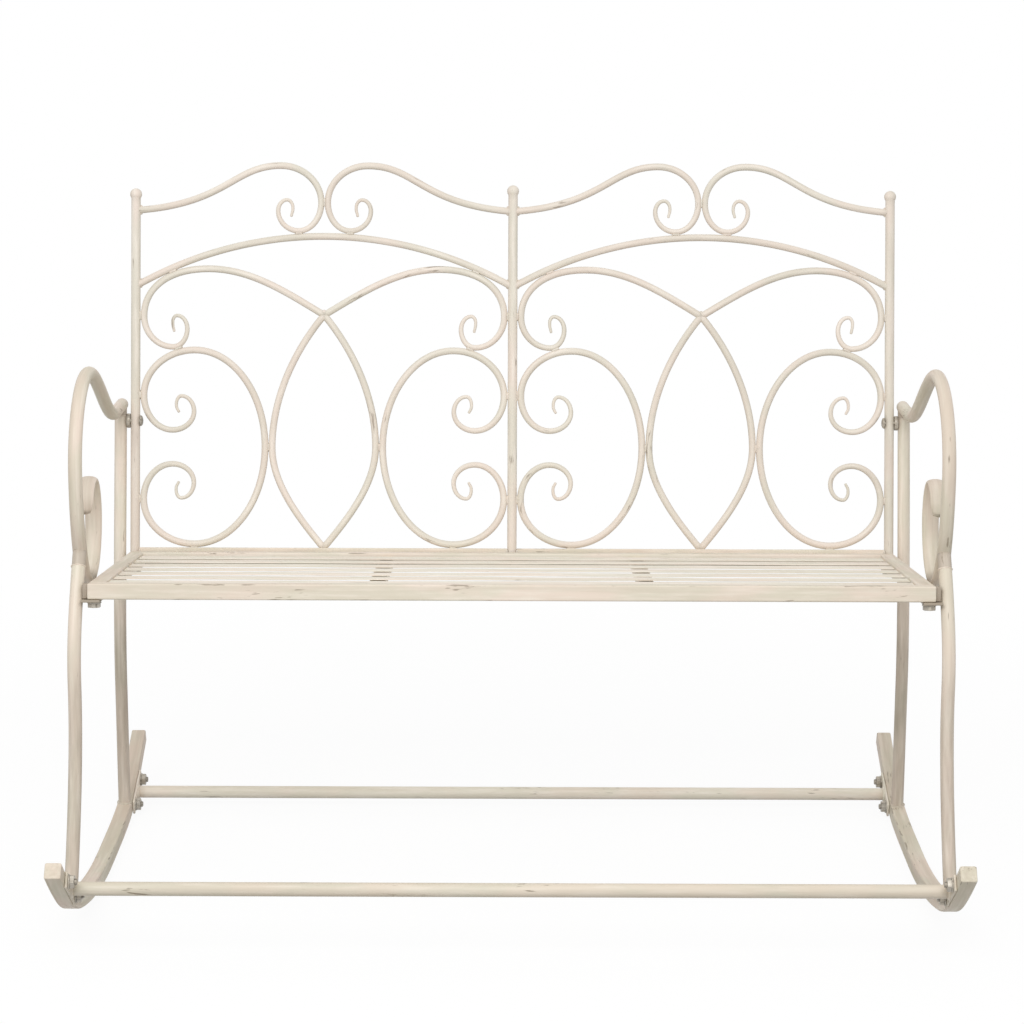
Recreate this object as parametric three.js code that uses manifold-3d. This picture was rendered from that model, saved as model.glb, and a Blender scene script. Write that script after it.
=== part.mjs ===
// Two-seat rocking bench of bent steel: a slatted seat between two curved side
// frames on rockers, with a back of scrolled bars. Millimetres, Z up. The sitter
// faces -Y, and left and right are named as seen from in front.
import * as THREE from 'three';
import { mergeVertices } from 'three/addons/utils/BufferGeometryUtils.js';
import Module from 'manifold-3d';

const wasm = await Module();
wasm.setup();

// Fits and cuts
const clearance = 0.3; // left between pieces that touch
const cutOverrun = 2; // how far a cutter runs past the face it opens
const turnPerRing = 30; // most degrees that a bent bar turns between two rings
const chordError = 1; // how far a bent bar's straight steps may leave its true curve
const settleReach = 40; // how far a scroll may slide to touch the one below it
const probeSpacing = 2; // between places at which the space between bars is measured
const circleLead = 0.5523; // share of a leg of a quarter turn that a handle takes

// Across the bench
const legSpacing = 1082.5; // between the planes of the two side frames
const postLegGap = 5.25; // between an outer post and the rear leg that it is bolted to
const seatLegGap = 6.75; // between the end of a seat rail and a leg

// Tubes and bars
const legDiameter = 17;
const postDiameter = 13;
const barDiameter = 9.5;
const ballDiameter = 16.5;
const stretcherDiameter = 17;
const railSize = 20;
const railChamfer = 1.5;
const rockerSize = 20;
const rockerChamfer = 2;
const legSides = 10;
const barSides = 8;
const boltSides = 8;
const nutSides = 6;

// Rockers, heights from the floor and setbacks from the front leg's upright part
const restSetback = 255; // middle of the flat on which the bench stands still
const restFlat = 80;
const rockerMainRadius = 960;
const rockerMainAngle = 16;
const rockerBendRadius = 260;
const rockerBendAngle = 18;
const rockerTipRadius = 900;
const rockerTipAngle = 6.2;
const rockerRearRadius = 1200;
const rockerRearAngle = 3.5;
const rockerTailRadius = 300;
const rockerTailAngle = 18;
const rockerTailLength = 107.3;

// Front legs
const frontFootForward = 82;
const frontUprightHeight = 300;
const frontFootHeading = 60;
const frontTopHeading = 52;
const legJointAngle = 40; // how far round the scroll's front quarter the leg meets it
const frontLowerLeadShare = 0.33;
const frontUpperLeadShare = 0.27;
const frontTopLeadShare = 0.655;

// Rear legs
const rearFootInset = 23.5; // in front of the seat's rear face
const rearUprightHeight = 205;
const rearLowerLeadShare = 0.3;
const rearUpperLeadShare = 0.28;
const rearTopLeadShare = 0.33;

// Arms, which end in a scroll in front of the seat
const armFrontSetback = 56;
const armTopHeight = 670.5;
const armScrollHeight = 413;
const armEndOverhang = 19;
const armScrollWidth = 22;
const armTipThickness = 9;
// setback share, height share, heading, thinning share, lead shares out and in of the next bend
const armShares = [
  [1, 0.631, 180, 0],
  [0.833, 0.635, 180, 0, 0.35, 0.35],
  [0.27, 1, 180, 0],
  [0, 0.571, 270, 0.1],
  [0.172, 0, 0, 0.5],
  [0.318, 0.29, 90, 1],
  [0.241, 0.478, 180, 1],
  [0.162, 0.363, 270, 1],
  [0.164, 0.318, 275, 1],
];

// Seat
const seatDepth = 395.5;
const seatSlope = 7.5;
const seatFrontSetback = 24;
const seatAboveScroll = 20.5; // front top edge over the lowest point of the arms' axes
const slatCount = 7;
const slatWidth = 29.5;
const slatThickness = 2;
const slatDrop = 3; // slat tops lie this far below the rail tops
const crossbarSpacing = 342;
const crossbarWidth = 20;
const crossbarThickness = 12;

// Back
const backRecline = 12.3;
const backRailSize = 12;
const backRailStandUp = 4; // above the top of the seat rails
const postHeight = 496;
const middlePostExtra = 6;
const bowHalfWidth = 71.5;
const bowHeading = 50;
const bowLeadShare = 0.36;
const cScrollHeight = 268;
const sScrollHeight = 108;
const archRise = 69.5;
const archHeading = 29.8;
const archLeadShare = 0.351;
const waveHeight = 90;
// width share, height share, heading, girth share, lead shares out and in of the next bend
const cScrollShares = [
  [1, 1, 270, 1],
  [0.418, 0, 180, 1],
  [0, 0.464, 90, 1],
  [0.239, 0.825, 0, 0.84],
  [0.414, 0.633, 270, 0.68],
  [0.31, 0.474, 180, 0.52],
  [0.268, 0.559, 90, 0.46],
  [0.288, 0.635, 62, 0.4],
];
const sScrollShares = [
  [1, 0.411, 149, 1, 0.35, 0.37],
  [0.359, 1, 180, 1, 0.64, 0.58],
  [0, 0.397, 270, 0.96],
  [0.161, 0, 0, 0.82],
  [0.24, 0.231, 90, 0.68],
  [0.184, 0.401, 180, 0.52],
  [0.159, 0.322, 270, 0.46],
  [0.167, 0.206, 282, 0.4],
];
const waveShares = [
  [0, 0.306, 4, 1, 0.62, 0.33],
  [0.782, 1, 0, 1],
  [1, 0.436, 270, 0.92],
  [0.879, 0, 180, 0.8],
  [0.7675, 0.306, 90, 0.66],
  [0.815, 0.475, 0, 0.52],
  [0.847, 0.35, 270, 0.46],
  [0.839, 0.231, 260, 0.4],
];

// Stretchers with the plates that bolt them to the rockers
const frontStretcherForward = 147;
const rearStretcherBehind = 44; // behind the rear legs' feet
const flangeLength = 80;
const flangeThickness = 3;
const flangeBoltSpacing = 60;

// Tabs on the legs that carry the seat
const tabLength = 32;
const tabThickness = 3;
const tabWidth = 26; // under the seat rail, from its outer face
const tabSetbacks = { front: 12, rear: 6 }; // middle of the tab, from the seat's near face
const seatBoltInset = 7.5; // from the end of the seat rail

// Bolts
const boltDiameter = 8;
const boltHole = 9;
const boltBite = 14; // how far a shank goes into its tube
const headAcross = 15;
const headThickness = 5.5;
const backHeadThickness = 4;
const washerDiameter = 18;
const washerThickness = 1.6;
const stubLength = 3; // thread that stands out of a nut
const spacerDiameter = 20;
const backBoltHeight = 175; // up the post from the top of the back's lower rail

// Finishes
const paint = { color: 0xe4dccb, roughness: 0.62, metalness: 0.05 };
const zinc = { color: 0x8f8b83, roughness: 0.45, metalness: 0.8 };

// Values that follow from the sizes above
const legX = legSpacing / 2;
const legRadius = legDiameter / 2;
const postRadius = postDiameter / 2;
const barRadius = barDiameter / 2;
const postSpacing = legX - legRadius - postLegGap - postRadius;
const seatHalf = legX - legRadius - seatLegGap;
const seatWidth = 2 * seatHalf;
const seatFrontHeight = armScrollHeight + seatAboveScroll;
const rearFootSetback = seatFrontSetback + seatDepth - rearFootInset;
const rearStretcherSetback = rearFootSetback + rearStretcherBehind;
const lean = backRecline - seatSlope;
const inRadians = THREE.MathUtils.degToRad;
const leanAngle = inRadians(lean);

// Direction of a heading in degrees, as a point of a flat plane
function towards(heading) {
  return new THREE.Vector2(Math.cos(inRadians(heading)), Math.sin(inRadians(heading)));
}

// One piece of a bent line: leaves one station along its heading and reaches the next along its own
function bendBetween(from, to) {
  const span = to.at.clone().sub(from.at);
  const out = towards(from.heading);
  const into = towards(to.heading);
  const first = from.at.clone().addScaledVector(out, from.leadOut * span.dot(out));
  const last = to.at.clone().addScaledVector(into, -from.leadIn * span.dot(into));
  return new THREE.CubicBezierCurve(from.at, first, last, to.at);
}

// Degrees that a curve turns in all, taken from a fine sampling
function turnOf(curve) {
  const probeCount = 16;
  let turn = 0;
  for (let i = 0; i < probeCount; i += 1) {
    const here = curve.getTangent(i / probeCount);
    const next = curve.getTangent((i + 1) / probeCount);
    turn += Math.acos(Math.min(1, here.dot(next)));
  }
  return THREE.MathUtils.radToDeg(turn);
}

// Steps that keep a bend of the given turn and length smooth enough
function ringSteps(turn, length) {
  const byTurn = Math.abs(turn) / turnPerRing;
  const byError = Math.sqrt((length * inRadians(Math.abs(turn))) / (8 * chordError));
  return Math.max(2, Math.ceil(byTurn), Math.ceil(byError));
}

// Rings of a bent bar: where its axis is, which way it runs and its girth share
function lineThrough(stations) {
  const rings = [];
  for (let i = 0; i < stations.length - 1; i += 1) {
    const curve = bendBetween(stations[i], stations[i + 1]);
    const steps = ringSteps(turnOf(curve), curve.getLength());
    const first = i === 0 ? 0 : 1;
    for (let step = first; step <= steps; step += 1) {
      const share = step / steps;
      const girth = THREE.MathUtils.lerp(stations[i].girth, stations[i + 1].girth, share);
      rings.push({ at: curve.getPoint(share), along: curve.getTangent(share), girth });
    }
  }
  return rings;
}

// Stations from a table of shares, stretched over a box from its corner
function stationsFrom(shares, corner, width, height) {
  return shares.map(([across, up, heading, girth, leadOut = circleLead, leadIn = leadOut]) => ({
    at: new THREE.Vector2(corner.x + across * width, corner.y + up * height),
    heading,
    girth,
    leadOut,
    leadIn,
  }));
}

// A line of straight runs and arcs, each { length } or { radius, turn }, from a start and a heading
function traceBends(start, heading, bends) {
  const rings = [{ at: start.clone(), along: towards(heading), girth: 1 }];
  const at = start.clone();
  let course = heading;
  for (const { length = 0, radius = 0, turn = 0 } of bends) {
    const steps = turn === 0 ? 1 : ringSteps(turn, radius * inRadians(Math.abs(turn)));
    const stepTurn = turn / steps;
    const arcStep = 2 * radius * Math.sin(inRadians(Math.abs(stepTurn) / 2));
    for (let step = 0; step < steps; step += 1) {
      at.addScaledVector(towards(course + stepTurn / 2), length / steps + arcStep);
      course += stepTurn;
      rings.push({ at: at.clone(), along: towards(course), girth: 1 });
    }
  }
  return rings;
}

// The same line run the other way
function reversed(line) {
  return line.map(({ at, along, girth }) => ({ at, along: along.clone().negate(), girth })).reverse();
}

// The same line slid along its plane
function slid(line, across, up) {
  return line.map((ring) => ({ ...ring, at: new THREE.Vector2(ring.at.x + across, ring.at.y + up) }));
}

// The same line mirrored about a level at the given height
function flipped(line, height) {
  return line.map(({ at, along, girth }) => ({
    at: new THREE.Vector2(at.x, 2 * height - at.y),
    along: new THREE.Vector2(along.x, -along.y),
    girth,
  }));
}

// Point of a line at a given setback, with the slope there in radians
function pointOn(line, setback) {
  const next = Math.max(1, line.findIndex((ring) => ring.at.x >= setback));
  const [before, after] = [line[next - 1], line[next]];
  const share = (setback - before.at.x) / (after.at.x - before.at.x);
  const at = before.at.clone().lerp(after.at, share);
  const run = after.at.clone().sub(before.at);
  return { at, slope: Math.atan2(run.y, run.x) };
}

// Round or oval outline of a bar, as offsets in its plane and across it
function ovalOutline(thickness, width, sides) {
  const outline = [];
  for (let side = 0; side < sides; side += 1) {
    const angle = (side / sides) * 2 * Math.PI;
    outline.push([(Math.cos(angle) * thickness) / 2, (Math.sin(angle) * width) / 2]);
  }
  return outline;
}

// Square outline with chamfered corners
function squareOutline(size, chamfer) {
  const half = size / 2;
  const flat = half - chamfer;
  return [
    [half, -flat], [half, flat], [flat, half], [-flat, half],
    [-half, flat], [-half, -flat], [-flat, -half], [flat, -half],
  ];
}

// Places a point of a plane in space: the back's plane is XZ and a side frame's is YZ
const inBackPlane = (point, across) => [point.x, across, point.y];
const inSidePlane = (point, across) => [across, point.x, point.y];

// Volume enclosed by a mesh, below zero when its faces point in
function signedVolume(positions, indices) {
  const corner = (i) => new THREE.Vector3().fromArray(positions, indices[i] * 3);
  let volume = 0;
  for (let i = 0; i < indices.length; i += 3) {
    volume += corner(i).dot(corner(i + 1).cross(corner(i + 2))) / 6;
  }
  return volume;
}

// Closed body swept along a line: a ring of points at each place and a fan over each end
function sweep(line, outlineOf, place) {
  const positions = [];
  const indices = [];
  const sides = outlineOf(line[0]).length;
  for (const ring of line) {
    const normal = new THREE.Vector2(-ring.along.y, ring.along.x);
    for (const [offset, across] of outlineOf(ring)) {
      positions.push(...place(ring.at.clone().addScaledVector(normal, offset), across));
    }
  }
  for (let ring = 0; ring < line.length - 1; ring += 1) {
    for (let side = 0; side < sides; side += 1) {
      const here = ring * sides + side;
      const beside = ring * sides + ((side + 1) % sides);
      indices.push(here, beside, here + sides, beside, beside + sides, here + sides);
    }
  }
  const last = (line.length - 1) * sides;
  const firstCentre = positions.length / 3;
  positions.push(...place(line[0].at, 0), ...place(line[line.length - 1].at, 0));
  for (let side = 0; side < sides; side += 1) {
    const beside = (side + 1) % sides;
    indices.push(firstCentre, beside, side, firstCentre + 1, last + side, last + beside);
  }
  if (signedVolume(positions, indices) < 0) {
    indices.reverse();
  }
  const geometry = new THREE.BufferGeometry();
  geometry.setAttribute('position', new THREE.Float32BufferAttribute(positions, 3));
  geometry.setIndex(indices);
  return geometry;
}

// Solid of a closed geometry, for joining and cutting
function solidOf(geometry) {
  const bare = geometry.clone();
  bare.deleteAttribute('normal');
  bare.deleteAttribute('uv');
  const merged = mergeVertices(bare);
  const corners = merged.index.array;
  const triVerts = [];
  for (let i = 0; i < corners.length; i += 3) {
    const [a, b, c] = [corners[i], corners[i + 1], corners[i + 2]];
    if (a !== b && b !== c && c !== a) {
      triVerts.push(a, b, c);
    }
  }
  return new wasm.Manifold(new wasm.Mesh({
    numProp: 3,
    vertProperties: new Float32Array(merged.attributes.position.array),
    triVerts: new Uint32Array(triVerts),
  }));
}

// Geometry of a solid
function geometryOf(solid) {
  const mesh = solid.getMesh();
  const geometry = new THREE.BufferGeometry();
  geometry.setAttribute('position', new THREE.Float32BufferAttribute(mesh.vertProperties, 3));
  geometry.setIndex(Array.from(mesh.triVerts));
  return geometry;
}

const joined = (first, ...others) => others.reduce((whole, other) => whole.add(other), first);
const cutBy = (first, ...others) => others.reduce((rest, other) => rest.subtract(other), first);

// Cylinder whose axis runs up from the origin
function upright(diameter, length, sides) {
  const geometry = new THREE.CylinderGeometry(diameter / 2, diameter / 2, length, sides);
  return geometry.rotateX(Math.PI / 2).translate(0, 0, length / 2);
}

// Cylinder whose axis runs towards +X from the origin
function sideways(diameter, length, sides) {
  return upright(diameter, length, sides).rotateY(Math.PI / 2);
}

const bench = new THREE.Group();
const seat = new THREE.Group();
const back = new THREE.Group();

function addPiece(parent, name, geometry, finish) {
  const mesh = new THREE.Mesh(geometry, new THREE.MeshStandardMaterial(finish));
  mesh.name = name;
  parent.add(mesh);
  return mesh;
}

// The same piece on both sides, the left one mirrored
function addPair(name, geometry, finish) {
  addPiece(bench, `right_${name}`, geometry, finish);
  addPiece(bench, `left_${name}`, geometry.clone(), finish).scale.x = -1;
}

// The seat tilts down to the rear about its front top edge, and the back stands behind its rear rail
seat.position.set(0, seatFrontSetback, seatFrontHeight);
seat.rotation.x = -inRadians(seatSlope);
const footGap = (postRadius + clearance) / Math.cos(leanAngle);
const backRise = railSize + backRailStandUp;
back.position.set(0, seatDepth + footGap + backRise * Math.tan(leanAngle), backRailStandUp);
back.rotation.x = -leanAngle;
seat.add(back);
bench.add(seat);
bench.updateMatrixWorld(true);

// Point of the back's axis plane, as setback and height
function backPoint(height) {
  const point = new THREE.Vector3(0, 0, height).applyMatrix4(back.matrixWorld);
  return new THREE.Vector2(point.y, point.z);
}

// Setback of the posts' axes at a height above the floor
function postSetbackAt(height) {
  const foot = backPoint(0);
  return foot.x + (height - foot.y) * Math.tan(inRadians(backRecline));
}

// Axis of a rocker, from its front tip to its tail
function rockerLine() {
  const level = rockerSize / 2;
  const flatFront = new THREE.Vector2(restSetback - restFlat / 2, level);
  const flatRear = new THREE.Vector2(restSetback + restFlat / 2, level);
  const front = traceBends(flatFront, 180, [
    { radius: rockerMainRadius, turn: -rockerMainAngle },
    { radius: rockerBendRadius, turn: -rockerBendAngle },
    { radius: rockerTipRadius, turn: -rockerTipAngle },
  ]);
  const rear = traceBends(flatRear, 0, [
    { radius: rockerRearRadius, turn: rockerRearAngle },
    { radius: rockerTailRadius, turn: rockerTailAngle },
    { length: rockerTailLength },
  ]);
  return [...reversed(front), ...rear];
}

// Axis of an arm, from its rear end over the rest and down into the scroll
const armRearHeight = armScrollHeight + armShares[0][1] * (armTopHeight - armScrollHeight);
const armRearSetback = postSetbackAt(armRearHeight) + armEndOverhang;
const armStations = stationsFrom(
  armShares,
  new THREE.Vector2(armFrontSetback, armScrollHeight),
  armRearSetback - armFrontSetback,
  armTopHeight - armScrollHeight,
);
const armLine = lineThrough(armStations);
const rocker = rockerLine();

// Outline of an arm with its flattened scroll, or of the clearance round it
function armOutline(extra) {
  return ({ girth }) => ovalOutline(
    THREE.MathUtils.lerp(legDiameter, armTipThickness, girth) + extra,
    THREE.MathUtils.lerp(legDiameter, armScrollWidth, girth) + extra,
    legSides,
  );
}

// Where the front leg meets the scroll, on its lower front quarter
function scrollJoint() {
  const [bulge, bottom] = [armStations[3].at, armStations[4].at];
  const turned = towards(legJointAngle);
  return new THREE.Vector2(
    bottom.x - (bottom.x - bulge.x) * turned.x,
    bulge.y - (bulge.y - bottom.y) * turned.y,
  );
}

const frontLegLine = lineThrough([
  {
    at: pointOn(rocker, -frontFootForward).at,
    heading: frontFootHeading,
    girth: 1,
    leadOut: frontLowerLeadShare,
    leadIn: frontLowerLeadShare,
  },
  {
    at: new THREE.Vector2(0, frontUprightHeight),
    heading: 90,
    girth: 1,
    leadOut: frontUpperLeadShare,
    leadIn: frontTopLeadShare,
  },
  { at: scrollJoint(), heading: frontTopHeading, girth: 1 },
]);

const rearLegLine = lineThrough([
  {
    at: pointOn(rocker, rearFootSetback).at,
    heading: 90,
    girth: 1,
    leadOut: rearLowerLeadShare,
    leadIn: rearLowerLeadShare,
  },
  {
    at: new THREE.Vector2(rearFootSetback, rearUprightHeight),
    heading: 90,
    girth: 1,
    leadOut: rearUpperLeadShare,
    leadIn: rearTopLeadShare,
  },
  {
    at: new THREE.Vector2(postSetbackAt(armRearHeight), armRearHeight),
    heading: 90 - backRecline,
    girth: 1,
  },
]);

// Seat bolts in the seat's frame, at the right: across, setback from the front face
const seatBoltX = seatHalf - seatBoltInset;
const seatBoltSetbacks = { front: railSize / 2, rear: seatDepth - railSize / 2 };

// Hole for a seat bolt, from below the tab up into the rail
function seatBoltHole(end) {
  const tabBottom = -railSize - clearance - tabThickness;
  const length = cutOverrun - tabBottom - railSize + boltBite + clearance;
  return upright(boltHole, length, boltSides)
    .translate(seatBoltX, seatBoltSetbacks[end], tabBottom - cutOverrun);
}

// Tab under the end of a seat rail, in the seat's frame
function tabGeometry(end) {
  const inner = seatHalf - tabWidth;
  const outer = legX - legRadius / 2;
  const middle = end === 'front' ? tabSetbacks.front : seatDepth - tabSetbacks.rear;
  const geometry = new THREE.BoxGeometry(outer - inner, tabLength, tabThickness);
  const below = railSize + clearance + tabThickness / 2;
  return geometry.translate((inner + outer) / 2, middle, -below);
}

// A leg with its tab, cut to the rocker below and the arm above
function buildLeg(line, end, ...cutters) {
  const outline = () => ovalOutline(legDiameter, legDiameter, legSides);
  const leg = solidOf(sweep(line, outline, inSidePlane).translate(legX, 0, 0));
  const tab = solidOf(tabGeometry(end).applyMatrix4(seat.matrixWorld));
  const hole = solidOf(seatBoltHole(end).applyMatrix4(seat.matrixWorld));
  const rockerSpace = solidOf(
    sweep(rocker, () => squareOutline(rockerSize + 2 * clearance, rockerChamfer), inSidePlane)
      .translate(legX, 0, 0),
  );
  const armSpace = solidOf(
    sweep(armLine, armOutline(2 * clearance), inSidePlane).translate(legX, 0, 0),
  );
  const whole = cutBy(joined(leg, tab), hole, rockerSpace, armSpace, ...cutters);
  return largestBody(whole);
}

// The biggest of the bodies left by a cut
function largestBody(solid) {
  const bodies = solid.decompose();
  return bodies.reduce((best, body) => (body.volume() > best.volume() ? body : best));
}

// Places of the four flange bolts, in the right side frame
function flangePlaces(setback) {
  const { at, slope } = pointOn(rocker, setback);
  const along = new THREE.Vector2(Math.cos(slope), Math.sin(slope));
  const half = flangeBoltSpacing / 2;
  return {
    at,
    slope,
    bolts: [at.clone().addScaledVector(along, -half), at.clone().addScaledVector(along, half)],
  };
}

const flanges = {
  front: flangePlaces(-frontStretcherForward),
  rear: flangePlaces(rearStretcherSetback),
};
const rockerFace = legX - rockerSize / 2;
const flangeFace = rockerFace - clearance - flangeThickness;

// Hole for a flange bolt through the plate and into the rocker
function flangeBoltHole(place) {
  const length = cutOverrun + flangeThickness + clearance + boltBite + clearance;
  return solidOf(
    sideways(boltHole, length, boltSides).translate(flangeFace - cutOverrun, place.x, place.y),
  );
}

// Bolt that holds the back to a rear leg, in the bench's frame at the right
const backBoltPlace = backPoint(backBoltHeight);
const postOuterFace = postSpacing + postRadius;
const legInnerFace = legX - legRadius;

function backBoltHole() {
  const start = postSpacing - postRadius - cutOverrun;
  const length = legInnerFace + boltBite - legRadius + clearance - start;
  return sideways(boltHole, length, boltSides)
    .translate(start, backBoltPlace.x, backBoltPlace.y);
}

// Side frames
const rockerSolid = cutBy(
  solidOf(
    sweep(rocker, () => squareOutline(rockerSize, rockerChamfer), inSidePlane)
      .translate(legX, 0, 0),
  ),
  ...[...flanges.front.bolts, ...flanges.rear.bolts].map(flangeBoltHole),
);
addPair('rocker', geometryOf(rockerSolid), paint);
addPair('front_leg', geometryOf(buildLeg(frontLegLine, 'front')), paint);
addPair('rear_leg', geometryOf(buildLeg(rearLegLine, 'rear', solidOf(backBoltHole()))), paint);
addPair('arm', sweep(armLine, armOutline(0), inSidePlane).translate(legX, 0, 0), paint);

// A stretcher: a tube with a bolted plate at each end
function buildStretcher({ at, slope, bolts }) {
  const tube = sideways(stretcherDiameter, 2 * flangeFace + flangeThickness, legSides)
    .translate(-flangeFace - flangeThickness / 2, at.x, at.y);
  const plate = new THREE.BoxGeometry(flangeThickness, flangeLength, rockerSize)
    .rotateX(slope)
    .translate(flangeFace + flangeThickness / 2, at.x, at.y);
  const holes = bolts.map(flangeBoltHole);
  const right = cutBy(solidOf(plate), ...holes);
  const left = right.mirror([1, 0, 0]);
  return geometryOf(joined(solidOf(tube), right, left));
}
addPiece(bench, 'front_stretcher', buildStretcher(flanges.front), paint);
addPiece(bench, 'rear_stretcher', buildStretcher(flanges.rear), paint);

// A bolt with washer and nut on the inner side of a flange, pointing to +X
function flangeBoltGeometry(place) {
  const stack = washerThickness + headThickness;
  const start = flangeFace - clearance - stack;
  const shankLength = stubLength + rockerFace + boltBite - start;
  const shank = sideways(boltDiameter, shankLength, boltSides).translate(start - stubLength, 0, 0);
  const nut = sideways(headAcross, headThickness, nutSides).translate(start, 0, 0);
  const washer = sideways(washerDiameter, washerThickness, boltSides)
    .translate(start + headThickness, 0, 0);
  const bolt = joined(solidOf(shank), solidOf(nut), solidOf(washer));
  return geometryOf(bolt).translate(0, place.x, place.y);
}
for (const [end, { bolts }] of Object.entries(flanges)) {
  bolts.forEach((place, order) => {
    addPair(`${end}_flange_bolt_${order + 1}`, flangeBoltGeometry(place), zinc);
  });
}

// The back bolt: head on the post, spacer between post and leg, shank into the leg
function backBoltGeometry() {
  const start = postSpacing - postRadius - clearance - backHeadThickness;
  const shankLength = legInnerFace + boltBite - legRadius - start;
  const shank = sideways(boltDiameter, shankLength, boltSides).translate(start, 0, 0);
  const head = sideways(headAcross, backHeadThickness, boltSides).translate(start, 0, 0);
  const spacerLength = legInnerFace - postOuterFace - 2 * clearance;
  const spacer = sideways(spacerDiameter, spacerLength, legSides)
    .translate(postOuterFace + clearance, 0, 0);
  const bolt = joined(solidOf(shank), solidOf(head), solidOf(spacer));
  return geometryOf(bolt).translate(0, backBoltPlace.x, backBoltPlace.y);
}
addPair('back_bolt', backBoltGeometry(), zinc);

// A seat bolt: head and washer under the tab, shank up into the rail
function seatBoltGeometry(end) {
  const tabBottom = -railSize - clearance - tabThickness;
  const stack = washerThickness + headThickness;
  const start = tabBottom - clearance - stack;
  const shank = upright(boltDiameter, boltBite - railSize - start, boltSides);
  const head = upright(headAcross, headThickness, nutSides);
  const washer = upright(washerDiameter, washerThickness, boltSides)
    .translate(0, 0, headThickness);
  const bolt = joined(solidOf(shank), solidOf(head), solidOf(washer));
  return geometryOf(bolt)
    .translate(seatBoltX, seatBoltSetbacks[end], start)
    .applyMatrix4(seat.matrixWorld);
}
addPair('front_seat_bolt', seatBoltGeometry('front'), zinc);
addPair('rear_seat_bolt', seatBoltGeometry('rear'), zinc);

// Straight seat rail along X with chamfered edges, its front top edge at the given setback
function crossRail(setback, end) {
  const shape = squareShape(railSize, railChamfer);
  const rail = new THREE.ExtrudeGeometry(shape, { depth: seatWidth, bevelEnabled: false })
    .rotateX(Math.PI / 2)
    .rotateZ(Math.PI / 2)
    .translate(-seatHalf, setback + railSize / 2, -railSize / 2);
  const hole = solidOf(seatBoltHole(end));
  return geometryOf(cutBy(solidOf(rail), hole, hole.mirror([1, 0, 0])));
}

// Chamfered square as a shape
function squareShape(size, chamfer) {
  return new THREE.Shape(squareOutline(size, chamfer).map(([x, y]) => new THREE.Vector2(x, y)));
}

// Seat
addPiece(seat, 'seat_front_rail', crossRail(0, 'front'), paint);
addPiece(seat, 'seat_rear_rail', crossRail(seatDepth - railSize, 'rear'), paint);
const sideRailLength = seatDepth - 2 * railSize - 2 * clearance;
for (const [name, side] of [['left', -1], ['right', 1]]) {
  const shape = squareShape(railSize, railChamfer);
  const rail = new THREE.ExtrudeGeometry(shape, { depth: sideRailLength, bevelEnabled: false })
    .rotateX(-Math.PI / 2)
    .translate(side * (seatHalf - railSize / 2), railSize + clearance, -railSize / 2);
  addPiece(seat, `seat_${name}_rail`, rail, paint);
}
const slatSpan = seatDepth - 2 * railSize;
const slatGap = (slatSpan - slatCount * slatWidth) / (slatCount + 1);
const slatLength = seatWidth - 2 * railSize - 2 * clearance;
for (let slat = 0; slat < slatCount; slat += 1) {
  const setback = railSize + slatGap + slat * (slatWidth + slatGap) + slatWidth / 2;
  const geometry = new THREE.BoxGeometry(slatLength, slatWidth, slatThickness)
    .translate(0, setback, -slatDrop - slatThickness / 2);
  addPiece(seat, `seat_slat_${slat + 1}`, geometry, paint);
}
for (const [name, side] of [['left', -1], ['right', 1]]) {
  const top = slatDrop + slatThickness + clearance;
  const geometry = new THREE.BoxGeometry(crossbarWidth, sideRailLength, crossbarThickness)
    .translate((side * crossbarSpacing) / 2, seatDepth / 2, -top - crossbarThickness / 2);
  addPiece(seat, `seat_${name}_crossbar`, geometry, paint);
}

// Scrolls of one panel of the back, from the left post's axis and the lower rail's top
const panelMiddle = postSpacing / 2;
const scrollEdge = postRadius + clearance + barRadius;
const scrollFloor = clearance + barRadius;

const cScrollWidth = panelMiddle - bowHalfWidth - barDiameter - clearance - scrollEdge;
const cScrollMiddle = scrollFloor + cScrollHeight / 2;
const cScrollLower = lineThrough(stationsFrom(
  cScrollShares,
  new THREE.Vector2(scrollEdge, scrollFloor),
  cScrollWidth,
  cScrollHeight / 2,
));
const cScrollLine = [
  ...reversed(flipped(cScrollLower, cScrollMiddle)),
  ...cScrollLower.slice(1),
];

// Least space between two bars, taken from ring to ring
function spaceBetween(first, second) {
  let least = Infinity;
  for (const a of first) {
    for (const b of second) {
      const space = a.at.distanceTo(b.at) - (a.girth + b.girth) * barRadius;
      least = Math.min(least, space);
    }
  }
  return least;
}

// More places along a line, for measuring
function finer(line) {
  return line.slice(1).flatMap((ring, order) => {
    const before = line[order];
    const stepCount = Math.ceil(before.at.distanceTo(ring.at) / probeSpacing);
    return Array.from({ length: stepCount }, (unused, step) => ({
      at: before.at.clone().lerp(ring.at, (step + 1) / stepCount),
      girth: THREE.MathUtils.lerp(before.girth, ring.girth, (step + 1) / stepCount),
    }));
  });
}

// Lets a line down, or lifts it, until it touches the one below it
function settled(line, support) {
  const halvings = 24;
  const fineLine = finer(line);
  const fineSupport = finer(support);
  let low = -settleReach;
  let high = settleReach;
  for (let step = 0; step < halvings; step += 1) {
    const middle = (low + high) / 2;
    if (spaceBetween(slid(fineLine, 0, middle), fineSupport) > clearance) {
      high = middle;
    } else {
      low = middle;
    }
  }
  return slid(line, 0, high);
}

const sScrollLine = settled(
  lineThrough(stationsFrom(
    sScrollShares,
    new THREE.Vector2(scrollEdge, scrollFloor + cScrollHeight),
    panelMiddle - scrollEdge,
    sScrollHeight,
  )),
  cScrollLine,
);
const crossing = sScrollLine[0].at;

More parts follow.
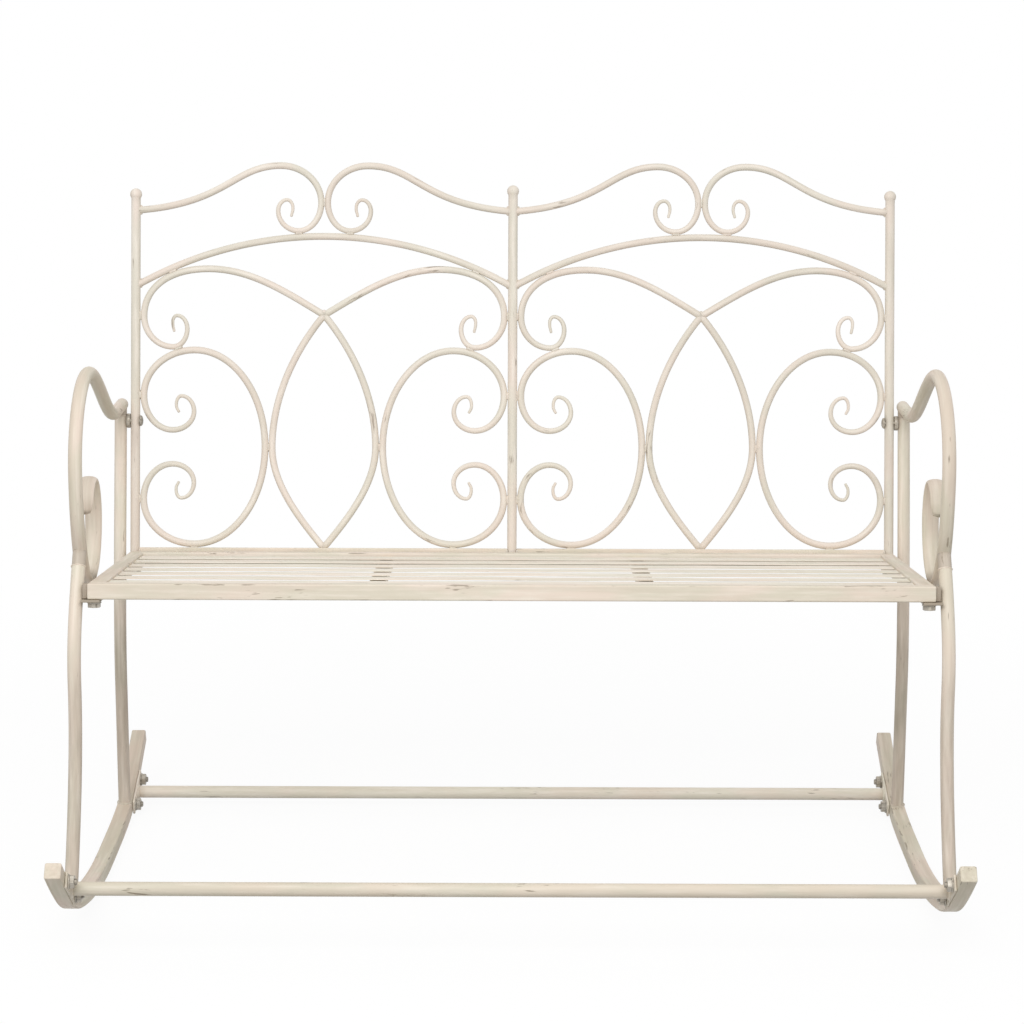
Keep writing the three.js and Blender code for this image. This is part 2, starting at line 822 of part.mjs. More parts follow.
const archStart = crossing.y + sScrollHeight / 2;
const archEnd = { leadOut: archLeadShare, leadIn: archLeadShare, girth: 1 };
const archLine = settled(
  lineThrough([
    { at: new THREE.Vector2(0, archStart), heading: archHeading, ...archEnd },
    { at: new THREE.Vector2(panelMiddle, archStart + archRise), heading: 0, ...archEnd },
    { at: new THREE.Vector2(postSpacing, archStart), heading: -archHeading, ...archEnd },
  ]),
  sScrollLine,
);

const waveEdge = panelMiddle - clearance / 2 - barRadius * waveShares[2][3];
const archTop = archLine.reduce((top, ring) => Math.max(top, ring.at.y), 0);
const waveLine = settled(
  lineThrough(stationsFrom(
    waveShares,
    new THREE.Vector2(0, archTop + barDiameter),
    waveEdge,
    waveHeight,
  )),
  archLine,
);

const bowLead = { leadOut: bowLeadShare, leadIn: bowLeadShare, girth: 1 };
const bowLine = lineThrough([
  { at: new THREE.Vector2(panelMiddle, 0), heading: 180 - bowHeading, ...bowLead },
  { at: new THREE.Vector2(panelMiddle - bowHalfWidth, cScrollMiddle), heading: 90, ...bowLead },
  { at: crossing, heading: bowHeading, ...bowLead },
]);

// Outline of a scrolled bar that grows thinner with its girth share
const barOutline = (extra) => ({ girth }) => ovalOutline(
  barDiameter * girth + extra,
  barDiameter * girth + extra,
  barSides,
);
const barSolid = (line, extra = 0) => solidOf(sweep(line, barOutline(extra), inBackPlane));

// Space that a post takes, with the clearance round it
function postSpace(across) {
  const reach = postHeight + middlePostExtra + backRise;
  const diameter = postDiameter + 2 * clearance;
  return solidOf(upright(diameter, reach + 2 * cutOverrun, legSides)
    .translate(across, 0, -backRise - cutOverrun));
}

// Space on the far side of the panel's middle
function farHalf() {
  const depth = postDiameter + cutOverrun;
  const height = postHeight + 2 * backRise;
  return solidOf(new THREE.BoxGeometry(postSpacing, depth, height)
    .translate(panelMiddle - clearance / 2 + postSpacing / 2, 0, height / 2 - backRise));
}

// Space under the lower rail's top, with the clearance over it
function railSpace() {
  return solidOf(new THREE.BoxGeometry(postSpacing, postDiameter + cutOverrun, backRise)
    .translate(panelMiddle, 0, clearance - backRise / 2));
}

// The left bars of a panel, and the ones that cross its middle
const leftBars = {
  c_scroll: barSolid(cScrollLine),
  s_scroll: cutBy(barSolid(sScrollLine), farHalf()),
  bow: cutBy(barSolid(bowLine), farHalf(), railSpace(), barSolid(sScrollLine, 2 * clearance)),
  wave: cutBy(barSolid(waveLine), postSpace(0)),
};
const lowerRail = solidOf(new THREE.BoxGeometry(postSpacing, backRailSize, backRailSize)
  .translate(panelMiddle, 0, -backRailSize / 2));
const middleBars = {
  arch: cutBy(barSolid(archLine), postSpace(0), postSpace(postSpacing)),
  lower_rail: cutBy(lowerRail, postSpace(0), postSpace(postSpacing)),
};

// The two panels side by side, each with its left bars and their mirror images
for (const [panel, start] of [['left', -postSpacing], ['right', 0]]) {
  for (const [name, solid] of Object.entries(leftBars)) {
    const right = solid.mirror([1, 0, 0]).translate([postSpacing, 0, 0]);
    addPiece(back, `${panel}_panel_left_${name}`, geometryOf(solid), paint).position.x = start;
    addPiece(back, `${panel}_panel_right_${name}`, geometryOf(right), paint).position.x = start;
  }
  for (const [name, solid] of Object.entries(middleBars)) {
    addPiece(back, `${panel}_panel_${name}`, geometryOf(solid), paint).position.x = start;
  }
}

// A post with the ball on its top, from the seat rail's lower edge
function postProfile(height) {
  const foot = -backRise / Math.cos(leanAngle);
  const ballRadius = ballDiameter / 2;
  const ballCentre = height - ballRadius;
  const ballSteps = 6;
  const neckAngle = Math.asin(postRadius / ballRadius);
  const profile = [new THREE.Vector2(0, foot), new THREE.Vector2(postRadius, foot)];
  for (let step = 0; step < ballSteps; step += 1) {
    const angle = Math.PI - neckAngle - (step / ballSteps) * (Math.PI - neckAngle);
    profile.push(new THREE.Vector2(
      ballRadius * Math.sin(angle),
      ballCentre + ballRadius * Math.cos(angle),
    ));
  }
  profile.push(new THREE.Vector2(0, height));
  return profile;
}

function buildPost(side) {
  const height = side === 0 ? postHeight + middlePostExtra : postHeight;
  const post = solidOf(new THREE.LatheGeometry(postProfile(height), legSides).rotateX(Math.PI / 2));
  const start = -postRadius - cutOverrun;
  const hole = solidOf(sideways(boltHole, postDiameter + 2 * cutOverrun, boltSides)
    .translate(start, 0, backBoltHeight));
  return geometryOf(side === 0 ? post : cutBy(post, hole));
}
for (const [name, side] of [['left', -1], ['middle', 0], ['right', 1]]) {
  addPiece(back, `${name}_post`, buildPost(side), paint).position.x = side * postSpacing;
}

// The origin lies on the floor under the middle of the bench
bench.updateMatrixWorld(true);
const extent = new THREE.Box3().setFromObject(bench);
const middle = extent.getCenter(new THREE.Vector3());
bench.position.set(0, -middle.y, -extent.min.z);

export default bench;
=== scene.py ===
# Rocking bench: smooth bars, rounded tubes, bolts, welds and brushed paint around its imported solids
import math
import random

import bmesh
import bpy
import numpy
from mathutils import Matrix, Vector, noise


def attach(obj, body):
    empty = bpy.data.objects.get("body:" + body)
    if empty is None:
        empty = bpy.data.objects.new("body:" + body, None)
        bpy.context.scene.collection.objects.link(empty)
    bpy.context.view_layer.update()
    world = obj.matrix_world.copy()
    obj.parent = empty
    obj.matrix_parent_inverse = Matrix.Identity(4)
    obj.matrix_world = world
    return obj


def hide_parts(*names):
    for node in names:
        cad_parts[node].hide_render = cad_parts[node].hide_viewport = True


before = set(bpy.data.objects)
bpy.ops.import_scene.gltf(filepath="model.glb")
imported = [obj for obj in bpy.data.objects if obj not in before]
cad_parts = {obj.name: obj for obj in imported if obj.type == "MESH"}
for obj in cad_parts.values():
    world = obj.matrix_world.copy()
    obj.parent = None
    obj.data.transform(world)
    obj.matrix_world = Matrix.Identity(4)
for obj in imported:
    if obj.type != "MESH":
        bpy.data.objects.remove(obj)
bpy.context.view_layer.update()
print("frame loaded:", len(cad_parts), "solids")

# Shared sizes in millimetres; setbacks count from the front legs' upright part
metre = 0.001
bench = {
    "originSetback": 177.984,  # the part's origin, behind the front legs
    "legX": 541.25,
    "postSpacing": 521,
    "legDiameter": 17,
    "postDiameter": 13,
    "barDiameter": 9.5,
    "tubeSize": 20,  # square tube of the seat and the rockers
    "touchGap": 0.3,  # left between pieces that touch
}
smoothness = {
    "ringTurn": 6,  # degrees from one ring of a bent bar to the next
    "ringSpacing": 7,
    "bendProbes": 16,
    "roundSides": 20,
    "endSteps": 3,
    "endGirth": 0.06,  # least girth share of a rounded end
    "mergeDistance": 0.0001,
    "flatWeight": 90,
}
laySet = {"reach": 40, "halvings": 24}  # search for where a bar lies on another
sides = (("left", -1), ("right", 1))
seatSet = {"slope": 7.5, "frontSetback": 24, "frontHeight": 433.5, "width": 1052, "depth": 395.5}
backSet = {
    "recline": 12.3,
    "railSize": 12,
    "railRounding": 1.2,
    "standUp": 4,
    "postHeight": 496,
    "middleExtra": 6,
}

legRadius = bench["legDiameter"] / 2
postRadius = bench["postDiameter"] / 2
barRadius = bench["barDiameter"] / 2
circleLead = 0.5523  # handle of a quarter circle, as a share of its leg
leanAngle = math.radians(backSet["recline"] - seatSet["slope"])
backRise = bench["tubeSize"] + backSet["standUp"]

toPart = Matrix.Scale(metre, 4) @ Matrix.Translation((0, -bench["originSetback"], 0))
seatMatrix = (
    toPart
    @ Matrix.Translation((0, seatSet["frontSetback"], seatSet["frontHeight"]))
    @ Matrix.Rotation(-math.radians(seatSet["slope"]), 4, "X")
)
footSetback = (
    seatSet["depth"]
    + (postRadius + bench["touchGap"]) / math.cos(leanAngle)
    + backRise * math.tan(leanAngle)
)
backMatrix = (
    seatMatrix
    @ Matrix.Translation((0, footSetback, backSet["standUp"]))
    @ Matrix.Rotation(-leanAngle, 4, "X")
)
# a bar is bent in a flat plane: (along the plane, up, out of it) goes to the part's axes
flatToBack = Matrix(((1, 0, 0, 0), (0, 0, 1, 0), (0, 1, 0, 0), (0, 0, 0, 1)))
flatToSide = Matrix(((0, 0, 1, 0), (1, 0, 0, 0), (0, 1, 0, 0), (0, 0, 0, 1)))


def sidePlane(side):
    return toPart @ Matrix.Translation((side * bench["legX"], 0, 0)) @ flatToSide


def backPlane(start, facing):
    turned = Matrix.Diagonal((facing, 1, 1, 1))
    return backMatrix @ Matrix.Translation((start, 0, 0)) @ turned @ flatToBack


# Bent lines, as rings with a place, a course and a girth share
def towards(heading):
    return Vector((math.cos(math.radians(heading)), math.sin(math.radians(heading))))


def station(at, heading, girth=1, leadOut=circleLead, leadIn=None):
    return {
        "at": Vector(at),
        "heading": heading,
        "girth": girth,
        "leadOut": leadOut,
        "leadIn": leadOut if leadIn is None else leadIn,
    }


def stationsFrom(shares, corner, width, height):
    return [
        station((corner[0] + row[0] * width, corner[1] + row[1] * height), *row[2:])
        for row in shares
    ]


def bendPoint(start, end, share):
    # place and course on the curve that leaves start and reaches end along their headings
    span = end["at"] - start["at"]
    out, into = towards(start["heading"]), towards(end["heading"])
    a, d = start["at"], end["at"]
    b = a + out * (start["leadOut"] * span.dot(out))
    c = d - into * (start["leadIn"] * span.dot(into))
    rest = 1 - share
    at = a * rest**3 + b * 3 * rest**2 * share + c * 3 * rest * share**2 + d * share**3
    along = (b - a) * rest**2 + (c - b) * 2 * rest * share + (d - c) * share**2
    return at, along.normalized()


def bendSteps(start, end):
    count = smoothness["bendProbes"]
    probes = [bendPoint(start, end, step / count) for step in range(count + 1)]
    pairs = list(zip(probes, probes[1:]))
    turn = sum(here[1].angle(there[1]) for here, there in pairs)
    length = sum((there[0] - here[0]).length for here, there in pairs)
    byTurn = math.degrees(turn) / smoothness["ringTurn"]
    return max(2, math.ceil(byTurn), math.ceil(length / smoothness["ringSpacing"]))


def lineThrough(stations):
    line = []
    for start, end in zip(stations, stations[1:]):
        steps = bendSteps(start, end)
        for step in range(1 if line else 0, steps + 1):
            at, along = bendPoint(start, end, step / steps)
            girth = start["girth"] + (end["girth"] - start["girth"]) * step / steps
            line.append({"at": at, "along": along, "girth": girth})
    return line


def traceBends(start, heading, bends):
    # straight runs and arcs, each (length, radius, turn)
    at, course = Vector(start), heading
    line = [{"at": at.copy(), "along": towards(heading), "girth": 1}]
    for length, radius, turn in bends:
        arc = radius * math.radians(abs(turn))
        byTurn = math.ceil(abs(turn) / smoothness["ringTurn"])
        steps = max(1, byTurn, math.ceil((length + arc) / smoothness["ringSpacing"]))
        chord = 2 * radius * math.sin(math.radians(abs(turn) / steps) / 2)
        for step in range(steps):
            at = at + towards(course + turn / steps / 2) * (length / steps + chord)
            course += turn / steps
            line.append({"at": at.copy(), "along": towards(course), "girth": 1})
    return line


def backwards(line):
    return [{**ring, "along": -ring["along"]} for ring in reversed(line)]


def upsideDown(line, height):
    return [
        {
            **ring,
            "at": Vector((ring["at"].x, 2 * height - ring["at"].y)),
            "along": Vector((ring["along"].x, -ring["along"].y)),
        }
        for ring in line
    ]


def pointOn(line, setback):
    after = next(i for i, ring in enumerate(line) if ring["at"].x >= setback)
    here, there = line[after - 1]["at"], line[after]["at"]
    at = here.lerp(there, (setback - here.x) / (there.x - here.x))
    return at, math.atan2(there.y - here.y, there.x - here.x)


def placesAndRadii(line):
    places = numpy.array([ring["at"] for ring in line])
    return places, numpy.array([ring["girth"] * barRadius for ring in line])


def laidOn(line, support):
    # slides a bar down or up until it lies on the one below it
    places, radii = placesAndRadii(line)
    fixed, fixedRadii = placesAndRadii(support)
    low, high = -laySet["reach"], laySet["reach"]
    for _ in range(laySet["halvings"]):
        middle = (low + high) / 2
        apart = places[:, None] + (0, middle) - fixed[None]
        space = numpy.hypot(apart[..., 0], apart[..., 1]) - radii[:, None] - fixedRadii[None]
        if space.min() > bench["touchGap"]:
            high = middle
        else:
            low = middle
    return [{**ring, "at": ring["at"] + Vector((0, high))} for ring in line]


def rounded(line, radius, thickness, atStart, atEnd):
    # extra rings that round off a bar's ends
    def cap(ring, sign):
        rings = []
        for step in range(1, smoothness["endSteps"] + 1):
            angle = math.pi / 2 * step / smoothness["endSteps"]
            shrink = 1 - radius / (thickness / 2) * (1 - math.cos(angle))
            girth = ring["girth"] * max(shrink, smoothness["endGirth"])
            at = ring["at"] + ring["along"] * sign * radius * math.sin(angle)
            rings.append({**ring, "at": at, "girth": girth})
        return rings

    first = cap(line[0], -1)[::-1] if atStart else []
    last = cap(line[-1], 1) if atEnd else []
    return first + line + last


def slightlyShort(line, amount):
    # draws both ends in, so that a rounded end stays inside the solid's length
    first, last = dict(line[0]), dict(line[-1])
    first["at"] = first["at"] + first["along"] * amount
    last["at"] = last["at"] - last["along"] * amount
    return [first] + line[1:-1] + [last]


# Pieces
pieces = {}
grimeAndShadeSpots = []  # (place, reach, strength) in metres where grime gathers round welds and bolts, and where shade is painted into joints, grooves and gaps
rubSpots = []  # (place, reach, strength) in metres where the paint is scuffed
dice = random.Random(11)


def startMesh():
    bm = bmesh.new()
    for name in ("straight", "section"):  # place on the unbent bar, place on its section (-1 to 1)
        bm.verts.layers.float_vector.new(name)
    for name in ("grimeAndShade", "rubbed"):
        bm.verts.layers.float.new(name)
    return bm


def placeLayers(bm):
    return bm.verts.layers.float_vector["straight"], bm.verts.layers.float_vector["section"]


def newVerts(bm, before):
    return [vert for vert in bm.verts if vert not in before]


def setGrimeAndShade(bm, verts, amount):
    # amount is one number, or a function of the vertex
    layer = bm.verts.layers.float["grimeAndShade"]
    for vert in verts:
        vert[layer] = amount(vert) if callable(amount) else amount


def islandOf(vert):
    # every vertex that is joined to this one
    found, border = {vert}, {vert}
    while border:
        near = {edge.other_vert(here) for here in border for edge in here.link_edges}
        border = near - found
        found |= border
    return found


def edgesAmong(bm, verts):
    return [edge for edge in bm.edges if edge.verts[0] in verts]


def roundOff(bm, geom, offset, segments, affect="EDGES"):
    return bmesh.ops.bevel(
        bm,
        geom=geom,
        offset=offset,
        affect=affect,
        segments=segments,
        profile=0.5,
        material=-1,
    )


def patternStart():
    # each piece takes its paint from another place in the pattern
    return Vector((dice.uniform(0, 2), dice.uniform(0, 0.5), dice.uniform(0, 0.5)))


def roundOutline(bm, segments=smoothness["roundSides"]):
    return bmesh.ops.create_circle(bm, cap_ends=True, radius=1, segments=segments)["verts"]


def squareOutline(bm, rounding):
    made = bmesh.ops.create_circle(bm, cap_ends=True, radius=math.sqrt(2), segments=4)["verts"]
    bmesh.ops.rotate(bm, verts=made, matrix=Matrix.Rotation(math.pi / 4, 3, "Z"))
    roundOff(bm, made, rounding, 3, "VERTICES")
    return list(bm.verts)


def sweepBar(bm, outline, line, plane, size=None):
    # pulls an outline's face along a line, ring by ring; a ring may bring its own sizes
    start = patternStart()
    straight, section = placeLayers(bm)
    face = outline[0].link_faces[0]
    for vert in outline:
        vert[section] = vert.co
    travelled = 0
    for order, ring in enumerate(line):
        if order:
            travelled += (ring["at"] - line[order - 1]["at"]).length
            passed = face
            made = bmesh.ops.extrude_face_region(bm, geom=[face])
            face = next(g for g in made["geom"] if isinstance(g, bmesh.types.BMFace))
            if order > 1:
                bmesh.ops.delete(bm, geom=[passed], context="FACES_ONLY")
        across = Vector((-ring["along"].y, ring["along"].x, 0))
        thick = ring.get("thick", size) * ring["girth"] / 2
        wide = ring.get("wide", size) * ring["girth"] / 2
        for vert in face.verts:
            unit = vert[section]
            flat = ring["at"].to_3d() + across * unit.x * thick + Vector((0, 0, unit.y * wide))
            vert.co = plane @ flat
            vert[straight] = start + Vector((travelled, unit.x * thick, unit.y * wide)) * metre


def addBox(bm, size, matrix, rounding, segments=3, lengthAxis=0, spacing=0, grimeAndShade=0):
    # a box with rounded edges, its long side taken as the way the paint was brushed
    straight, section = placeLayers(bm)
    made = bmesh.ops.create_cube(bm, size=1, matrix=Matrix.Diagonal((*size, 1)))
    edges = edgesAmong(bm, islandOf(made["verts"][0]))
    mine = islandOf(roundOff(bm, edges, rounding, segments)["verts"][0])
    if spacing:
        runs = [
            edge
            for edge in edgesAmong(bm, mine)
            if abs(edge.verts[0].co[lengthAxis] - edge.verts[1].co[lengthAxis]) > spacing
        ]
        cuts = round(size[lengthAxis] / spacing)
        halved = bmesh.ops.subdivide_edges(bm, edges=runs, cuts=cuts)["geom_inner"]
        mine = islandOf(next(g for g in halved if isinstance(g, bmesh.types.BMVert)))
    start = patternStart()
    turn = [lengthAxis, (lengthAxis + 1) % 3, (lengthAxis + 2) % 3]
    half = [size[axis] / 2 for axis in turn]
    for vert in mine:
        place = [vert.co[axis] for axis in turn]
        vert[straight] = start + Vector(place) * metre
        vert[section] = (place[1] / half[1], place[2] / half[2], 0)
        vert.co = matrix @ vert.co
    setGrimeAndShade(bm, mine, grimeAndShade)


def placeNew(bm, before, matrix, ripple=0, grimeAndShade=0):
    # lays the paint's pattern on what was added since, and moves it to its place
    straight, _ = placeLayers(bm)
    start = patternStart()
    made = newVerts(bm, before)
    for vert in made:
        vert[straight] = start + Vector((vert.co.z, vert.co.x, vert.co.y)) * metre
        lump = 1 + ripple * noise.noise(vert.co * weldSet["lumpScale"] + start)
        vert.co = matrix @ (vert.co * lump)
    setGrimeAndShade(bm, made, grimeAndShade)


def addSpun(bm, profile, matrix, steps, closed=False, ripple=0, grimeAndShade=0):
    # turns a profile of (radius, height) rows round the upright axis
    before = set(bm.verts)
    verts = [bm.verts.new((radius, 0, height)) for radius, height in profile]
    ends = verts[1:] + verts[:1] if closed else verts[1:]
    edges = [bm.edges.new(pair) for pair in zip(verts, ends)]
    bmesh.ops.spin(
        bm,
        geom=verts + edges,
        cent=(0, 0, 0),
        axis=(0, 0, 1),
        angle=math.tau,
        steps=steps,
        use_merge=True,
    )
    bmesh.ops.remove_doubles(bm, verts=newVerts(bm, before), dist=smoothness["mergeDistance"])
    placeNew(bm, before, matrix, ripple, grimeAndShade)


def addHex(bm, across, height, chamfer, matrix):
    before = set(bm.verts)
    radius = across / 2 / math.cos(math.pi / 6)
    made = bmesh.ops.create_circle(bm, cap_ends=True, radius=radius, segments=6)
    pulled = bmesh.ops.extrude_face_region(bm, geom=[made["verts"][0].link_faces[0]])
    top = [g for g in pulled["geom"] if isinstance(g, bmesh.types.BMVert)]
    bmesh.ops.translate(bm, verts=top, vec=(0, 0, height))
    roundOff(bm, edgesAmong(bm, islandOf(top[0])), chamfer, 2)
    placeNew(bm, before, matrix)


def finishPiece(name, bm, nodes, flatFaces=False):
    bmesh.ops.recalc_face_normals(bm, faces=bm.faces)
    mesh = bpy.data.meshes.new(name)
    bm.to_mesh(mesh)
    bm.free()
    mesh.shade_smooth()
    piece = bpy.data.objects.new(name, mesh)
    bpy.context.scene.collection.objects.link(piece)
    if flatFaces:
        piece.modifiers.new("even flats", "WEIGHTED_NORMAL").weight = smoothness["flatWeight"]
    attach(piece, "root")
    if nodes:
        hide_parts(*nodes)
    pieces[name] = piece


# Welds: rippled beads in the grooves between bars, and rings where a tube stands on a flat
weldSet = {
    "beadLength": 11,
    "rearSize": 4.6,
    "frontSize": 3.4,
    "rearLift": 2.7,
    "frontLift": -2.3,
    "crossLength": 15,
    "crossSize": 8.6,
    "beadSides": 10,
    "beadSteps": 10,
    "endTaper": 0.93,
    "ripple": 0.09,
    "unevenness": 0.05,
    "lengthSpread": 0.15,
    "postShare": 0.9,  # of the bar's radius, off its middle, on the post
    "postTuck": 1,
    "railTuck": 0.4,
    "tubeTuck": 0.6,
    "crossbarTuck": 0.5,
    "tubeShare": 0.8,  # of a tube's height
    "footShare": 0.8,
    "footBehind": 1.3,
    "footLengthShare": 0.75,
    "sunkIn": (1, 0.5),  # how far a ring reaches into the tube and the flat
    "ringShares": ((0.9, 0.25), (0.5, 0.6), (0.15, 0.95)),  # its bulge, outwards and up
    "ringSides": 56,
    "plateRing": 2.4,
    "footRing": 1.9,
    "topRing": 0.9,
    "ringRipple": 0.045,
    "lumpScale": 0.6,
    # grime round a weld, and painted shade in the groove where bars touch
    "grimeAndShade": 0.5,
    "beadGrime": 0.12,
    "grimeReach": 9,
}


def markGrimeAndShade(place, reach, strength=1):
    grimeAndShadeSpots.append((place, reach * metre, strength))


def addBead(bm, plane, at, along, length, size, lift=0):
    steps = weldSet["beadSteps"]
    at, along = Vector(at), Vector(along).normalized()
    line = []
    for step in range(steps + 1):
        share = 2 * step / steps - 1
        swell = math.sqrt(1 - weldSet["endTaper"] * share * share)
        uneven = dice.uniform(-weldSet["unevenness"], weldSet["unevenness"])
        girth = swell * (1 + weldSet["ripple"] * (-1) ** step + uneven)
        line.append({"at": at + along * share * length / 2, "along": along, "girth": girth})
    before = set(bm.verts)
    raised = plane @ Matrix.Translation((0, 0, lift))
    sweepBar(bm, roundOutline(bm, weldSet["beadSides"]), line, raised, size)
    setGrimeAndShade(bm, newVerts(bm, before), weldSet["beadGrime"])
    # darkens round the bead: grime on the weld, and painted shade in the groove between the bars
    markGrimeAndShade(raised @ at.to_3d(), weldSet["grimeReach"], weldSet["grimeAndShade"])


def addWeldRing(bm, matrix, radius, size, stretch=1):
    inside, below = radius - weldSet["sunkIn"][0], -weldSet["sunkIn"][1]
    bulge = [(radius + size * out, size * up) for out, up in weldSet["ringShares"]]
    profile = [(inside, below), (radius + size, below), *bulge, (inside, size)]
    stretched = matrix @ Matrix.Diagonal((stretch, 1, 1, 1))
    ripple, grimeAndShade = weldSet["ringRipple"], weldSet["beadGrime"]
    addSpun(bm, profile, stretched, weldSet["ringSides"], True, ripple, grimeAndShade)
    # darkens round the ring: grime on the weld, and painted shade where the tube stands on the flat
    markGrimeAndShade(matrix.translation, radius + weldSet["grimeReach"], weldSet["grimeAndShade"])


# Rockers
rockerSet = {
    "restSetback": 255,
    "restFlat": 80,
    "front": [(0, 960, -16), (0, 260, -18), (0, 900, -6.2)],
    "rear": [(0, 1200, 3.5), (0, 300, 18), (107.3, 0, 0)],
    "rounding": 0.22,  # of half the tube
    "endRounding": 1.2,
}


def rockerLine():
    level = bench["tubeSize"] / 2
    half = rockerSet["restFlat"] / 2
    front = traceBends((rockerSet["restSetback"] - half, level), 180, rockerSet["front"])
    rear = traceBends((rockerSet["restSetback"] + half, level), 0, rockerSet["rear"])
    return backwards(front) + rear


rocker = rockerLine()


def buildRocker(side, name):
    bm = startMesh()
    line = slightlyShort(rocker, rockerSet["endRounding"])
    line = rounded(line, rockerSet["endRounding"], bench["tubeSize"], True, True)
    outline = squareOutline(bm, rockerSet["rounding"])
    sweepBar(bm, outline, line, sidePlane(side), bench["tubeSize"])
    finishPiece(f"{name}RockerTube", bm, [f"{name}_rocker"], True)


# Arms and legs
armSet = {
    "frontSetback": 56,
    "topHeight": 670.5,
    "scrollHeight": 413,
    "endOverhang": 19,
    "scrollWidth": 22,
    "tipThickness": 9,
    "endRounding": 6,
    "tipRounding": 2,
    "tipShares": (0.42, 0.66, 0.82, 0.92, 0.98),  # of the scroll's width, from its tip on
    "shadeAndGrime": 0.46,  # painted shade on the arm round where the leg meets it
    "paintedShadeReach": 160,
    # setback share, height share, heading, flattening, leads out and in of the next bend
    "shares": [
        (1, 0.631, 180, 0),
        (0.833, 0.635, 180, 0, 0.35, 0.35),
        (0.27, 1, 180, 0),
        (0, 0.571, 270, 0.1),
        (0.172, 0, 0, 0.5),
        (0.318, 0.29, 90, 1),
        (0.241, 0.478, 180, 1),
        (0.162, 0.363, 270, 1),
        (0.164, 0.318, 275, 1),
    ],
}
legSet = {
    "frontFootForward": 82,
    "frontUprightHeight": 300,
    "frontHeadings": (60, 90, 52),
    "frontLeads": ((0.33, 0.33), (0.27, 0.655)),
    "jointTurn": 40,
    "rearFootSetback": 396,
    "rearUprightHeight": 205,
    "rearLeads": ((0.3, 0.3), (0.28, 0.33)),
    "seams": {"front": 20, "rear": 7},  # from the leg's upper end down to its weld
    "paintedShadeTop": 430,  # height up to which the legs get painted shade, darker towards the bottom
    "shadeAndGrime": 1.3,
    "paintedShadeLimit": 0.56,
    "jointGrimeAndShadeReach": 34,
}
tabSet = {  # flat tabs on the legs, bolted under the seat
    "length": 32,
    "thickness": 3,
    "width": 16,
    "sunkIn": 1.2,
    "rounding": 0.8,
    "setback": {"front": 12, "rear": 6},
}
shadeFillSet = {  # a dark box as painted shade in the gap between the front leg and the seat's end
    "size": (6.1, 14, 18),
    "place": (12, -10.4),
    "rounding": 1,
}


def backPoint(height):
    point = toPart.inverted() @ backMatrix @ Vector((0, 0, height))
    return Vector((point.y, point.z))


def postSetbackAt(height):
    foot = backPoint(0)
    return foot.x + (height - foot.y) * math.tan(math.radians(backSet["recline"]))


armSpan = armSet["topHeight"] - armSet["scrollHeight"]
armRearHeight = armSet["scrollHeight"] + armSet["shares"][0][1] * armSpan
armReach = postSetbackAt(armRearHeight) + armSet["endOverhang"] - armSet["frontSetback"]
armStations = stationsFrom(
    armSet["shares"], (armSet["frontSetback"], armSet["scrollHeight"]), armReach, armSpan
)
armBulge, armBottom = armStations[3]["at"], armStations[4]["at"]
armLine = lineThrough(armStations)


def armSize(key, flattening):
    # between the round tube's diameter and the flat tip's size
    return bench["legDiameter"] + (armSet[key] - bench["legDiameter"]) * flattening


def buildArm(side, name):
    bm = startMesh()
    sized = [
        {
            **ring,
            "thick": armSize("tipThickness", ring["girth"]),
            "wide": armSize("scrollWidth", ring["girth"]),
            "girth": 1,
        }
        for ring in armLine
    ]
    sized = slightlyShort(sized, armSet["endRounding"])
    for ring, share in zip(reversed(sized), armSet["tipShares"]):
        ring["wide"] *= share
    domed = rounded(sized, armSet["endRounding"], bench["legDiameter"], True, False)
    domed = rounded(domed, armSet["tipRounding"], armSet["tipThickness"], False, True)
    sweepBar(bm, roundOutline(bm), domed, sidePlane(side))
    joint = sidePlane(side) @ frontLeg[-1]["at"].to_3d()

    # painted shade on the arm's curl, darkest at the leg's joint
    def paintedShadeAt(vert):
        nearness = 1 - (vert.co - joint).length / metre / armSet["paintedShadeReach"]
        return max(0, armSet["shadeAndGrime"] * nearness)

    setGrimeAndShade(bm, bm.verts, paintedShadeAt)
    finishPiece(f"{name}ArmTube", bm, [f"{name}_arm"])


def legJoint():
    # on the arm's lower front bend
    turned = towards(legSet["jointTurn"])
    return (
        armBottom.x - (armBottom.x - armBulge.x) * turned.x,
        armBulge.y - (armBulge.y - armBottom.y) * turned.y,
    )


footHeading, kneeHeading, topHeading = legSet["frontHeadings"]
frontFoot = pointOn(rocker, -legSet["frontFootForward"])[0]
frontLeg = lineThrough([
    station(frontFoot, footHeading, 1, *legSet["frontLeads"][0]),
    station((0, legSet["frontUprightHeight"]), kneeHeading, 1, *legSet["frontLeads"][1]),
    station(legJoint(), topHeading),
])
rearUpright = (legSet["rearFootSetback"], legSet["rearUprightHeight"])
rearLeg = lineThrough([
    station(pointOn(rocker, legSet["rearFootSetback"])[0], 90, 1, *legSet["rearLeads"][0]),
    station(rearUpright, 90, 1, *legSet["rearLeads"][1]),
    station((postSetbackAt(armRearHeight), armRearHeight), 90 - backSet["recline"]),
])


def standingOn(side, spot, slope):
    # upright on a face that has this slope in the side's plane
    upright = Matrix.Rotation(slope, 4, "Z") @ Matrix.Rotation(-math.pi / 2, 4, "X")
    return sidePlane(side) @ Matrix.Translation(spot.to_3d()) @ upright


def addFootWeld(bm, side, line):
    # where the leg stands on the rocker's upper face
    at, slope = pointOn(rocker, line[0]["at"].x)
    heading = line[0]["along"]
    across = heading.dot(towards(math.degrees(slope) + 90))
    spot = at + heading * bench["tubeSize"] / 2 / across
    place = standingOn(side, spot, slope)
    addWeldRing(bm, place, legRadius, weldSet["footRing"], 1 / across)


